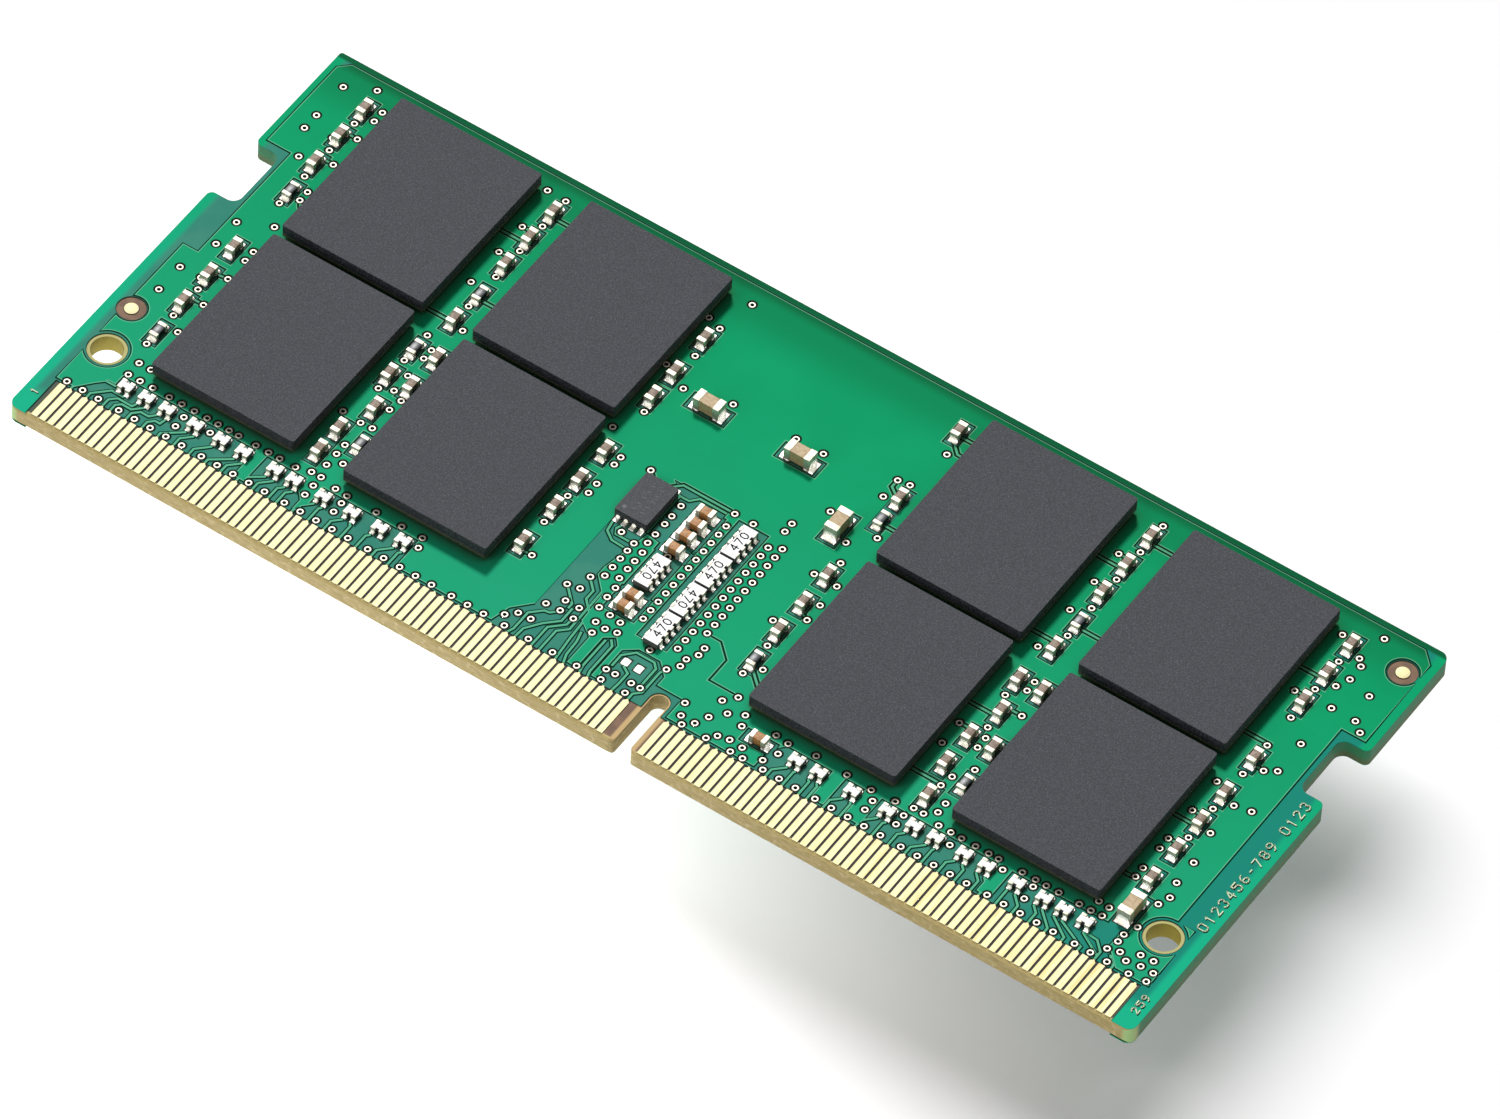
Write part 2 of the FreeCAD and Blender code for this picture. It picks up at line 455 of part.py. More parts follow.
CAPACITOR = ChipPart(1.0, 0.5, 0.5, 0.26, 0.18, "decoupling_capacitor")
RESISTOR = ChipPart(1.0, 0.5, 0.33, 0.22, 0.18, "reference_resistor")
SUPPLY_CAPACITOR = ChipPart(1.0, 0.55, 0.5, 0.26, 0.22, "supply_capacitor")
BULK_CAPACITOR = ChipPart(1.6, 0.8, 0.8, 0.38, 0.24, "bulk_capacitor")
SERIES_ARRAY = ArrayPart(2, SERIES_ARRAY_PITCH, 0.84, 0.64, 0.33, "series_array")
NETWORK = ArrayPart(4, 0.52, 2.24, 0.96, 0.42, "termination_network")


def chip_parts(with_centre_block):
    """Every small part on one face: the kind of part, x, up and quarter turns."""
    parts = [(CAPACITOR, x, up, 0) for x, ups in CAPACITORS for up in ups]
    parts += [(RESISTOR, x, up, 0) for x, ups in RESISTORS for up in ups]
    parts += [(BULK_CAPACITOR, x, up, turn) for x, up, turn in BULK_CAPACITORS]
    parts += [(SERIES_ARRAY, x, ARRAY_UP, 0) for x, _, _ in ARRAYS]
    if with_centre_block:
        parts += [(SUPPLY_CAPACITOR, x, up, turn) for x, up, turn in SUPPLY_CAPACITORS]
        parts += [(NETWORK, x, up, 1) for x, up in NETWORKS]
    return parts


def small_parts(with_centre_block):
    """Solids of the small parts on one face, by node."""
    solids = {"solder_joints": []}
    for part, x, up, turn in chip_parts(with_centre_block):
        solids.setdefault(part.name + "_bodies", []).append(at_place(part.body, x, up, turn))
        terminals = solids.setdefault(part.name + "_terminals", [])
        terminals += [at_place(terminal, x, up, turn) for terminal in part.terminals]
        solids["solder_joints"] += [at_place(joint, x, up, turn) for joint in part.joints]
    if with_centre_block:
        spare_pad = centred_box(SPARE_PAD_W, SPARE_PAD_H, 0, SPARE_PAD_T)
        solids["solder_joints"] += [at_place(spare_pad, x, up) for x, up in SPARE_PADS]
    return solids


# ---------------------------------------------------------------- memory chips and EEPROM
def memory_chips():
    """Eight ball-grid chips of one face: moulds are nodes of their own, the rest are groups."""
    solids = {"dram_substrates": [], "dram_dies": [], "dram_solder_balls": []}
    die = centred_box(DIE_W, DIE_H, SUBSTRATE_HIGH, SUBSTRATE_HIGH + DIE_T)
    mould = centred_box(CHIP_W, CHIP_H, SUBSTRATE_HIGH, CHIP_TOP).cut(die)
    substrate = centred_box(CHIP_W, CHIP_H, SUBSTRATE_LOW, SUBSTRATE_HIGH)
    ball = Part.makeCylinder(BALL_R, SUBSTRATE_LOW - MASK_ON_COPPER, Vector(0, 0, MASK_ON_COPPER))
    number = 0
    for up in CHIP_UPS:
        for x in CHIP_XS:
            number += 1
            solids["dram_mould_%d" % number] = [at_place(mould, x, up)]
            solids["dram_substrates"].append(at_place(substrate, x, up))
            solids["dram_dies"].append(at_place(die, x, up))
            for column in BALL_COLUMNS:
                for row in BALL_ROWS:
                    place = (x + column * BALL_PITCH, up + row * BALL_PITCH)
                    solids["dram_solder_balls"].append(at_place(ball, *place))
    return solids


def eeprom():
    """Leadless eight-terminal chip with four terminals on each short side, and its thermal pad."""
    leads = []
    joints = []
    openings = []
    end = EEPROM_H / 2
    outer = end + LEAD_PAD_REACH
    inner = end - LEAD_LENGTH + 2 * JOINT_SIDE
    opening_h = outer - inner + OPENING_END
    for index in range(4):
        x = (index - 1.5) * LEAD_PITCH
        lead = centred_box(LEAD_W, LEAD_LENGTH, SEAT, SEAT + LEAD_T, x, PLATING / 2 + LEAD_LENGTH / 2 - end)
        joint = turned(solder_joint(LEAD_W + JOINT_SIDE, inner, end + PLATING / 2, outer, LEAD_T), 2)
        joint.translate(Vector(x, 0, 0))
        leads += [lead, turned(lead, 2)]
        joints += [joint, turned(joint, 2)]
        for side in (1, -1):
            openings.append((x, side * (outer + inner) / 2, LEAD_W + 2 * OPENING_SIDE, opening_h))
    leads.append(centred_box(THERMAL_W, THERMAL_H, SEAT, SEAT + LEAD_T))
    body = centred_box(EEPROM_W, EEPROM_H, SEAT + PLATING, SEAT + EEPROM_T).cut(leads)
    return body, leads, joints, openings


# ---------------------------------------------------------------- plated holes
def via_places():
    places = [(x, up) for x, ups in COLUMN_VIAS + CENTRE_VIAS for up in ups]
    places += list(RIGHT_CONTACT_VIAS) + list(LOW_VIAS)
    places += [(x, REAR_VIA_UP) for x in REAR_VIAS]
    places += [(x, HEAD_VIA_UP) for x in HEAD_SINGLES]
    for start in HEAD_STARTS:
        places += [(start + step * HEAD_STEP, HEAD_VIA_UP) for step in range(HEAD_GROUP)]
    for x, top, count in NETWORK_VIAS:
        places += [(x, top - row * NETWORK_VIA_STEP) for row in range(count)]
    return places


def via_rings():
    outer = Part.makeCylinder(VIA_R, VIA_T)
    ring = outer.cut(Part.makeCylinder(VIA_HOLE_R, VIA_T))
    return [at_place(ring, x, up) for x, up in via_places()]


# ---------------------------------------------------------------- contacts
def contact_xs(first, count):
    return [first + index * PITCH for index in range(count)]


def contact_fingers(first, count):
    """Contacts with a plated hole at the head are square, the rest are chamfered and have a neck."""
    heads = [x for x, up in via_places() if up == HEAD_VIA_UP]
    half = CONTACT_W / 2
    neck = TRACK_W / 2
    slope = half - CONTACT_CHAMFER
    shoulder = CONTACT_TOP - CONTACT_CHAMFER
    fingers = []
    for x in contact_xs(first, count):
        if min(abs(x - head) for head in heads) < half:
            right_side = ((half, CONTACT_LOW), (half, HEAD_CONTACT_TOP))
        else:
            right_side = ((half, CONTACT_LOW), (half, shoulder), (slope, CONTACT_TOP),
                          (neck, CONTACT_TOP), (neck, WINDOW_TOP))
        left_side = [(-dx, up) for dx, up in right_side]
        shape = [(x + dx, up) for dx, up in list(right_side) + left_side[::-1]]
        fingers.append(polygon(shape).extrude(Vector(0, 0, CONTACT_T)))
    return fingers


# ---------------------------------------------------------------- copper and solder mask
def array_tracks():
    """Tracks from the lower terminals of the series arrays down to their contacts."""
    bend = ARRAY_TRACK_TOP - ARRAY_TRACK_STUB
    tracks = []
    for x, left, right in ARRAYS:
        for side, contact in ((-1, left), (1, right)):
            if contact is None:
                continue
            terminal = x + side * SERIES_ARRAY_PITCH / 2
            drop = min(abs(contact - terminal), ARRAY_TRACK_DROP)
            points = [(terminal, ARRAY_TRACK_TOP), (terminal, bend)]
            if drop > NEAR_ZERO:
                points.append((contact, bend - drop))
            tracks.append(points + [(contact, TRACK_END)])
    return tracks


def mask_openings(with_centre_block):
    key_centre = KEY_TOP - KEY_R
    key_half = KEY_R + KEY_RIM
    faces = [from_edge(WINDOW_LEFT, WINDOW_RIGHT, WINDOW_TOP)]
    faces += [from_edge(KEY_X - key_half, KEY_X + key_half, key_centre), disc(KEY_X, key_centre, key_half)]
    faces += [disc(side * TOOLING_X, TOOLING_UP, TOOLING_OPENING_R) for side in (-1, 1)]
    faces += [disc(x, up, FIDUCIAL_OPENING_R) for x, up in FIDUCIALS]
    faces += [disc(x, up, VIA_OPENING_R) for x, up in via_places()]
    spots = [(part.openings, x, up, turn) for part, x, up, turn in chip_parts(with_centre_block)]
    if with_centre_block:
        spots.append((eeprom()[3], EEPROM_X, EEPROM_UP, 0))
        spare = [(0, 0, SPARE_PAD_W + 2 * OPENING_END, SPARE_PAD_H + 2 * OPENING_END)]
        spots += [(spare, x, up, 0) for x, up in SPARE_PADS]
    for openings, x, up, turn in spots:
        for dx, dy, width, height in openings:
            if turn:
                dx, dy, width, height = -dy, dx, height, width
            faces.append(rectangle(x + dx, up + dy, width, height))
    return faces


def copper_face(with_centre_block):
    """The copper area with its gaps, and the tracks laid in them."""
    gaps = [polygon(points) for points in VOIDS]
    for part, x, up, turn in chip_parts(with_centre_block):
        if part.clearance:
            width, height = part.clearance
            if turn:
                width, height = height, width
            gaps.append(rectangle(x, up, width, height))
    for points in CROSSING_TRACKS:
        gaps.append(track(points, TRACK_W + 2 * CLEARANCE))
    gaps += [track(points, CLEARANCE) for points in PARTING_GAPS]
    gaps += [disc(side * TOOLING_X, TOOLING_UP, TOOLING_OPENING_R + TOOLING_GAP) for side in (-1, 1)]
    gaps += [disc(x, up, FIDUCIAL_OPENING_R + FIDUCIAL_GAP) for x, up in FIDUCIALS]
    key_half = KEY_R + KEY_GAP
    gaps.append(from_edge(KEY_X - key_half, KEY_X + key_half, KEY_TOP + KEY_GAP))
    laid = [track(points, TRACK_W) for points in TRACKS + CROSSING_TRACKS + tuple(array_tracks())]
    return polygon(POUR).cut(gaps).fuse(laid).removeSplitter()


def raised(face, low, high):
    lifted = face.copy()
    lifted.translate(Vector(0, 0, low))
    return lifted.extrude(Vector(0, 0, high - low))


def copper_and_mask(with_centre_block):
    """Copper on the laminate, and the mask that follows it: higher on copper, lower beside it."""
    outline = board_outline()
    openings = mask_openings(with_centre_block)
    copper = copper_face(with_centre_block).common(outline)
    bare = outline.cut(copper)
    copper = copper.cut(openings)
    bare = bare.cut(openings)
    metal = raised(copper, 0, COPPER_T).Solids
    high_mask = raised(copper, COPPER_T, MASK_ON_COPPER).Solids
    low_mask = raised(bare, 0, MASK_ON_LAMINATE).Solids
    mask = low_mask[0].fuse(low_mask[1:] + high_mask).Solids
    return metal, mask


# ---------------------------------------------------------------- legend
def numeral_strokes(text, x, up, scale=1.0):
    """Raised numerals that start at (x, up) and read up the module."""
    cell = scale * NUMERAL_H / 6
    solids = []
    for index, character in enumerate(text):
        start = up + index * scale * NUMERAL_STEP
        for stroke in STROKES[character]:
            points = [(x - row * cell, start + column * cell) for column, row in stroke]
            for ends in zip(points, points[1:]):
                line = track(ends, STROKE_W)
                solids.append(raised(line, MASK_ON_LAMINATE, MASK_ON_LAMINATE + LEGEND_T))
    return solids


def pin_numbers(first, last):
    """The numbers of the first and last contacts of one face, beside them."""
    solids = numeral_strokes(first, *FIRST_PIN_PLACE, PIN_NUMBER_SCALE)
    return solids + numeral_strokes(last, *LAST_PIN_PLACE, PIN_NUMBER_SCALE)


# ---------------------------------------------------------------- laminate
def laminate():
    board = raised(board_outline(), -LAMINATE_T, 0)
    cuts = []
    for side in (-1, 1):
        centre = point(side * TOOLING_X, TOOLING_UP, -LAMINATE_T)
        cuts.append(Part.makeCylinder(TOOLING_R, LAMINATE_T, centre))
    for face_z, inward in ((0, -1), (-LAMINATE_T, 1)):
        section = [point(-LENGTH, 0, face_z), point(-LENGTH, EDGE_BEVEL, face_z),
                   point(-LENGTH, 0, face_z + inward * EDGE_BEVEL), point(-LENGTH, 0, face_z)]
        cuts.append(Part.Face(Part.makePolygon(section)).extrude(Vector(2 * LENGTH, 0, 0)))
    return board.cut(cuts).Solids


# ---------------------------------------------------------------- one face of the module
def face_solids(with_centre_block, first_number, last_number):
    """All solids on one face, built with the laminate's surface at z = 0 and +Z outward."""
    solids = {}
    solids["copper_layer"], solids["solder_mask"] = copper_and_mask(with_centre_block)
    solids["contacts_left"] = contact_fingers(LEFT_FIRST, LEFT_COUNT)
    solids["contacts_right"] = contact_fingers(RIGHT_FIRST, RIGHT_COUNT)
    solids["via_rings"] = via_rings()
    fiducial = Part.makeCylinder(FIDUCIAL_R, CONTACT_T)
    solids["fiducials"] = [at_place(fiducial, x, up) for x, up in FIDUCIALS]
    solids["legend"] = pin_numbers(first_number, last_number)
    solids.update(memory_chips())
    solids.update(small_parts(with_centre_block))
    return solids


def front_solid(solid):
    placed = solid.copy()
    placed.translate(Vector(0, 0, MID_Z + LAMINATE_T / 2))
    return placed


def back_solid(solid):
    placed = solid.mirror(Vector(0, 0, 0), Vector(0, 0, 1))
    placed.translate(Vector(0, 0, MID_Z - LAMINATE_T / 2))
    return placed


def build():
    front = face_solids(True, "1", "259")
    body, leads, joints = eeprom()[:3]
    front["eeprom_body"] = [at_place(body, EEPROM_X, EEPROM_UP)]
    front["eeprom_leads"] = [at_place(lead, EEPROM_X, EEPROM_UP) for lead in leads]
    front["solder_joints"] += [at_place(joint, EEPROM_X, EEPROM_UP) for joint in joints]
    front["legend"] += numeral_strokes(EDGE_NUMBER, EDGE_NUMBER_X, EDGE_NUMBER_UP)
    back = face_solids(False, "2", "260")
    add("pcb_laminate", [front_solid(solid) for solid in laminate()])
    for name, solids in front.items():
        node = name if name in SHARED_NODES else name + "_front"
        add(node, [front_solid(solid) for solid in solids])
    for name, solids in back.items():
        node = name if name in SHARED_NODES else name + "_back"
        add(node, [back_solid(solid) for solid in solids])


build()
os.makedirs("parts", exist_ok=True)
for name, solids in nodes.items():
    Part.makeCompound(solids).exportStep("parts/" + name + ".step")
print(len(nodes), "nodes")
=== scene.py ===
import json
import math

import bmesh
import bpy
from mathutils import Matrix, Vector
from mathutils.bvhtree import BVHTree


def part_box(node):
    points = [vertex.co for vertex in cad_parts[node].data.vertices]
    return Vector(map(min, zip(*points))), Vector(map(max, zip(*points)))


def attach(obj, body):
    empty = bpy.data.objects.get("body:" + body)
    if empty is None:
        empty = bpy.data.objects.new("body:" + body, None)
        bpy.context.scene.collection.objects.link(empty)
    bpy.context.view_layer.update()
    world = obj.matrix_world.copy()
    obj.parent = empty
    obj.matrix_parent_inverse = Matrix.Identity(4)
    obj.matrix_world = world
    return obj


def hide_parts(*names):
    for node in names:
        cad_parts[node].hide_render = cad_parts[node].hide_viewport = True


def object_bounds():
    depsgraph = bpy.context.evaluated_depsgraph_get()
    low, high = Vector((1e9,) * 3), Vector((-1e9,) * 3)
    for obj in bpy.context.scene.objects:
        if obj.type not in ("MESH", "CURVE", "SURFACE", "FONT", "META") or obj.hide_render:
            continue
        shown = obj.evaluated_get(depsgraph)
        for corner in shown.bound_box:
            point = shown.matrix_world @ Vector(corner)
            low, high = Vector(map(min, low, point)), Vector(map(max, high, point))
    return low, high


# Looks for the small-outline memory module. The card lies flat, its front face up; the part's own
# frame gives every place, and lengths in this script's names and finishes are millimetres.

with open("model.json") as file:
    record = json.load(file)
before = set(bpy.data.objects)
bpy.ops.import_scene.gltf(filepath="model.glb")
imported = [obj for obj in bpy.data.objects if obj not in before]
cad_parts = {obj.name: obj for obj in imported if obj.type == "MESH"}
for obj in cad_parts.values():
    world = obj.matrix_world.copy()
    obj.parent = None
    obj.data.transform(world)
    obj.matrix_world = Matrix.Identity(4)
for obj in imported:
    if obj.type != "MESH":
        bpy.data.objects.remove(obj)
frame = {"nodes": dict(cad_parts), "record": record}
CAD_LOW, CAD_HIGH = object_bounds()

MM = 0.001
ROOT = "root"
NODES = frame["nodes"]
SLOT_OF = {part["node"]: part["material_slot"] for part in frame["record"]["subparts"]}
FACES = ("front", "back")

BOARD_LOW, BOARD_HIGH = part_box("pcb_laminate")
MIDDLE = (BOARD_LOW.z + BOARD_HIGH.z) / 2 / MM
HALF_BOARD = (BOARD_HIGH.z - BOARD_LOW.z) / 2 / MM
HALF_LENGTH = BOARD_HIGH.x / MM
LOW_EDGE = BOARD_LOW.y / MM
MASK_TOP = (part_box("solder_mask_front")[1].z - BOARD_HIGH.z) / MM
CONTACT_LEFT, CONTACT_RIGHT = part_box("contacts_left_front"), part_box("contacts_right_front")

# Places on the card: x from its middle, and up from its contact edge.
CONTACT_TOP = 2.8
HOLE_X, HOLE_UP = 32.8, 6.0
FIDUCIALS = ((-33.4, 9.0), (33.4, 27.65))
KEY_LEFT, KEY_RIGHT, KEY_TOP = 2.97, 4.35, 4.8
BEYOND_CONTACTS = 33.4
TOP_STRIP = 29.55

# Shapes of small features.
WELD = 1e-7
FLAT = math.radians(0.5)
SHARP = math.radians(30)
VIA_GAP = 0.268
VIA_HOLE_SHARE = 0.52
TOE_T = 0.035
JOINT_SEAT = 0.08
JOINT_ARCH = ((-1, 0.0), (-0.97, 0.55), (-0.7, 0.93), (0, 1.0), (0.7, 0.93), (0.97, 0.55), (1, 0.0))
BALL_PROFILE = ((0.66, 0.0), (0.88, 0.14), (1.0, 0.4), (1.0, 0.6), (0.88, 0.86), (0.66, 1.0))


# ---------------------------------------------------------------- finishes
def colour(code):
    """Linear colour from a six-figure code."""
    parts = [int(code[start:start + 2], 16) / 255 for start in (0, 2, 4)]
    return [part / 12.92 if part <= 0.04045 else ((part + 0.055) / 1.055) ** 2.4 for part in parts] + [1.0]


class Finish:
    """A material and short calls for its nodes. Places and sizes in it are millimetres."""

    def __init__(self, name, roughness, metallic=0.0, specular=0.5):
        self.material = bpy.data.materials.new(name)
        self.material.use_nodes = True
        self.tree = self.material.node_tree
        self.shader = self.tree.nodes["Principled BSDF"]
        self.set("Roughness", roughness)
        self.set("Metallic", metallic)
        self.set("Specular IOR Level", specular)
        place = self.add("ShaderNodeTexCoord").outputs["Object"]
        scale = [1 / MM] * 3
        self.place = self.add("ShaderNodeVectorMath", place, scale, operation="MULTIPLY").outputs[0]
        self.x, self.y, self.z = self.add("ShaderNodeSeparateXYZ", self.place).outputs

    def connect(self, value, socket):
        """Links a node's output to a socket, or sets a plain value on it."""
        if isinstance(value, bpy.types.NodeSocket):
            self.tree.links.new(value, socket)
        else:
            socket.default_value = value

    def add(self, kind, *inputs, **settings):
        """A new node with its settings, and its inputs in order; None leaves an input alone."""
        node = self.tree.nodes.new(kind)
        for name, value in settings.items():
            setattr(node, name, value)
        for index, value in enumerate(inputs):
            if value is not None:
                self.connect(value, node.inputs[index])
        return node

    def set(self, name, value):
        self.connect(value, self.shader.inputs[name])

    def math(self, operation, *values):
        return self.add("ShaderNodeMath", *values, operation=operation).outputs[0]

    def step(self, value, start, end):
        """From 0 at start to 1 at end, smoothly."""
        inputs = (value, start, end, 0.0, 1.0)
        return self.add("ShaderNodeMapRange", *inputs, interpolation_type="SMOOTHSTEP").outputs[0]

    def within(self, value, low, high, edge):
        """1 between low and high, falling to 0 over edge outside them."""
        rise = self.step(value, low - edge, low)
        fall = self.step(value, high, high + edge)
        return self.math("SUBTRACT", rise, fall)

    def mix(self, factor, first, second):
        """The first colour where the factor is 0, the second where it is 1."""
        inputs = [factor] + [None] * 5 + [first, second]
        return self.add("ShaderNodeMix", *inputs, data_type="RGBA").outputs[2]

    def noise(self, size, detail=2.0, stretch=(1, 1, 1)):
        """Soft noise from 0 to 1 with grains of one size."""
        place = self.add("ShaderNodeVectorMath", self.place, list(stretch), operation="MULTIPLY").outputs[0]
        return self.add("ShaderNodeTexNoise", place, None, 1 / size, detail).outputs[0]

    def bump(self, height, depth, strength=1.0, over=None):
        """Relief of a depth in millimetres, over another relief where one is given."""
        node = self.add("ShaderNodeBump")
        for name, value in (("Height", height), ("Distance", depth * MM), ("Strength", strength)):
            self.connect(value, node.inputs[name])
        if over is not None:
            self.connect(over, node.inputs["Normal"])
        return node.outputs[0]

    def distance_to(self, x, y):
        """Distance in plan from a place."""
        across = self.math("POWER", self.math("ABSOLUTE", self.math("SUBTRACT", self.x, x)), 2.0)
        along = self.math("POWER", self.math("ABSOLUTE", self.math("SUBTRACT", self.y, y)), 2.0)
        return self.math("SQRT", self.math("ADD", across, along))

    def upright(self):
        """1 on upright sides, 0 on faces that look up or down."""
        geometry = self.add("ShaderNodeNewGeometry").outputs["True Normal"]
        rise = self.add("ShaderNodeSeparateXYZ", geometry).outputs[2]
        return self.step(self.math("ABSOLUTE", rise), 0.6, 0.35)

    def height(self):
        """Height over the laminate's own surface, on either face."""
        over_middle = self.math("ABSOLUTE", self.math("SUBTRACT", self.z, MIDDLE))
        return self.math("SUBTRACT", over_middle, HALF_BOARD)

    def finish(self, base, roughness=None, normal=None):
        """Sets what is given and hands the material over."""
        self.set("Base Color", base)
        if roughness is not None:
            self.set("Roughness", roughness)
        if normal is not None:
            self.set("Normal", normal)
        return self.material


def vary(finish, code, other, size, low=0.35, high=0.65):
    """Two near colours, mixed by noise of one size."""
    return finish.mix(finish.step(finish.noise(size), low, high), colour(code), colour(other))


def laminate_finish():
    """Milled glass-fibre edges in thin layers; brown bare faces, with painted shade near black between the
    contacts and a painted dark ring round each fiducial's opening.
    """
    f = Finish("laminate", 0.6, specular=0.3)
    layers = f.noise(0.09, 3.0, (0.12, 0.12, 1))
    fibres = f.noise(0.35, 3.0)
    wall = f.mix(f.step(layers, 0.35, 0.65), colour("B2A06C"), colour("9C8B54"))
    wall = f.mix(f.step(fibres, 0.5, 0.75), wall, colour("BFAF80"))
    end = f.step(f.math("ABSOLUTE", f.x), HALF_LENGTH - 2.4, HALF_LENGTH - 2.0)
    end_wall = f.mix(f.step(f.z, MIDDLE - 0.55, MIDDLE + 0.1), colour("5E6642"), colour("2F7C52"))
    up = f.math("SUBTRACT", f.y, LOW_EDGE)
    wall = f.mix(f.math("MULTIPLY", end, f.step(up, 0.3, 0.9)), wall, end_wall)
    tip = f.step(f.math("ABSOLUTE", f.x), HALF_LENGTH - 0.7, HALF_LENGTH - 0.3)
    wall = f.mix(f.math("MULTIPLY", tip, f.step(up, 0.9, 0.1)), wall, colour("A6C882"))
    bare = vary(f, "7B5A40", "674A33", 0.6)
    left = [edge.x / MM for edge in CONTACT_LEFT]
    right = [edge.x / MM for edge in CONTACT_RIGHT]
    beside = f.math("MAXIMUM", f.within(f.x, left[0], left[1], 0.02), f.within(f.x, right[0], right[1], 0.02))
    # Painted shade: the laminate in the narrow gaps between the contacts is painted near black.
    painted_gap_shade = f.math("MULTIPLY", beside, f.within(up, 0.16, CONTACT_TOP, 0.06))
    bare = f.mix(painted_gap_shade, bare, colour("0C0905"))
    past_left = f.step(f.x, left[0] - 0.03, left[0] - 0.06)
    past_right = f.step(f.x, right[1] + 0.02, right[1] + 0.05)
    outer = f.math("MAXIMUM", past_left, past_right)
    bare = f.mix(f.math("MULTIPLY", outer, f.within(up, 0.1, CONTACT_TOP, 0.1)), bare, colour("2A3B2A"))
    low_rim = f.step(up, 0.26, 0.1)
    bare = f.mix(low_rim, bare, colour("CDB878"))
    holes = [f.step(f.distance_to(side * HOLE_X, LOW_EDGE + HOLE_UP), 1.35, 1.2) for side in (-1, 1)]
    near_hole = f.math("MAXIMUM", *holes)
    bare = f.mix(near_hole, bare, colour("B0A968"))
    # Painted shade: a dark ring at the edge of each fiducial's mask opening.
    marks = [f.within(f.distance_to(x, LOW_EDGE + y), 0.37, 0.42, 0.01) for x, y in FIDUCIALS]
    bare = f.mix(f.math("MAXIMUM", *marks), bare, colour("1A120A"))
    key_rim = f.math("MULTIPLY", f.within(f.x, KEY_LEFT, KEY_RIGHT, 0.15), f.step(up, KEY_TOP, KEY_TOP - 0.2))
    bare = f.mix(key_rim, bare, colour("BE9F68"))
    wall = f.mix(near_hole, wall, colour("A89B3E"))
    return f.finish(f.mix(f.upright(), bare, wall), normal=f.bump(layers, 0.01, 0.5))


def mask_finish(name, roughness, specular, painted_tone="02301E", share=0.0):
    """Green over copper, teal over bare laminate, brighter in the strip along the card's ends; darker towards
    the top edge as painted light falloff, and darkened close to tall parts as painted shade. A painted tone
    can be mixed over all of it.
    """
    f = Finish(name, roughness, specular=specular)
    up = f.math("SUBTRACT", f.y, LOW_EDGE)
    # Painted light falloff: the copper green darkens towards the top edge, most in the last bands.
    rise = f.step(up, 2.0, 28.0)
    copper = f.mix(rise, colour("1B9C72"), colour("00945F"))
    cloud = f.step(f.noise(4.0, 3.0), 0.35, 0.7)
    copper = f.mix(f.math("MULTIPLY", cloud, 0.3), copper, colour("06A06C"))
    copper = f.mix(f.step(up, 25.5, 28.5), copper, colour("008352"))
    copper = f.mix(f.step(up, 28.8, 29.6), copper, colour("00643A"))
    bare = f.mix(f.step(f.noise(1.5), 0.35, 0.65), colour("3C8572"), colour("33806F"))
    bare = f.mix(f.step(f.x, 20.0, 33.0), bare, colour("158270"))
    end = f.step(f.math("ABSOLUTE", f.x), HALF_LENGTH - 0.75, HALF_LENGTH - 0.35)
    # Painted light falloff: the end strip darkens towards the top edge as well.
    strip = f.mix(rise, colour("14AC84"), colour("009A66"))
    outside = f.step(f.math("ABSOLUTE", f.x), BEYOND_CONTACTS, BEYOND_CONTACTS + 0.1)
    corner = f.math("MULTIPLY", outside, f.step(up, 2.2, 1.0))
    bare = f.mix(f.math("MAXIMUM", end, corner), bare, strip)
    bare = f.mix(f.step(up, TOP_STRIP, TOP_STRIP + 0.2), bare, colour("005C36"))
    on_copper = f.step(f.height(), MASK_TOP - 0.02, MASK_TOP - 0.01)
    base = f.mix(on_copper, bare, copper)
    # A painted tone mixed over everything, for the relief strips' painted shade and painted highlight.
    if share:
        base = f.mix(share, base, colour(painted_tone))
    # Painted shade: the mask darkens to brown close to tall parts, which an occlusion node finds.
    painted_shade_near_parts = f.add("ShaderNodeAmbientOcclusion", None, 1.0 * MM, samples=6).outputs["AO"]
    base = f.mix(f.math("MULTIPLY", f.step(painted_shade_near_parts, 0.85, 0.4), 0.8), base, colour("32281A"))
    weave = f.noise(0.28, 2.0, (1, 1, 0.2))
    grain = f.noise(0.06, 2.0)
    normal = f.bump(weave, 0.004, 0.35)
    rough = f.math("ADD", roughness, f.math("MULTIPLY", grain, 0.08))
    return f.finish(base, rough, f.bump(grain, 0.002, 0.3, normal))


def mould_finish(name, code, speck):
    """Moulded epoxy with fine grains of two sizes."""
    f = Finish(name, 0.68, specular=0.35)
    grain = f.noise(0.13, 3.0)
    fine = f.noise(0.055, 2.0)
    base = f.mix(f.step(grain, 0.36, 0.64), colour(code), colour(speck))
    base = f.mix(f.math("MULTIPLY", f.step(fine, 0.56, 0.7), 0.7), base, colour("6B6C73"))
    rough = f.math("ADD", 0.58, f.math("MULTIPLY", grain, 0.2))
    normal = f.bump(grain, 0.02, 0.5)
    return f.finish(base, rough, f.bump(fine, 0.008, 0.5, normal))


def metal_finish(name, code, other, roughness, size=0.12, depth=0.006, metallic=1.0):
    """Plated or soldered metal with slight waves and varied polish."""
    f = Finish(name, roughness, metallic)
    wave = f.noise(size, 2.0)
    base = vary(f, code, other, size * 2)
    rough = f.math("ADD", roughness - 0.05, f.math("MULTIPLY", f.noise(size * 0.7), 0.16))
    return f.finish(base, rough, f.bump(wave, depth, 0.6))


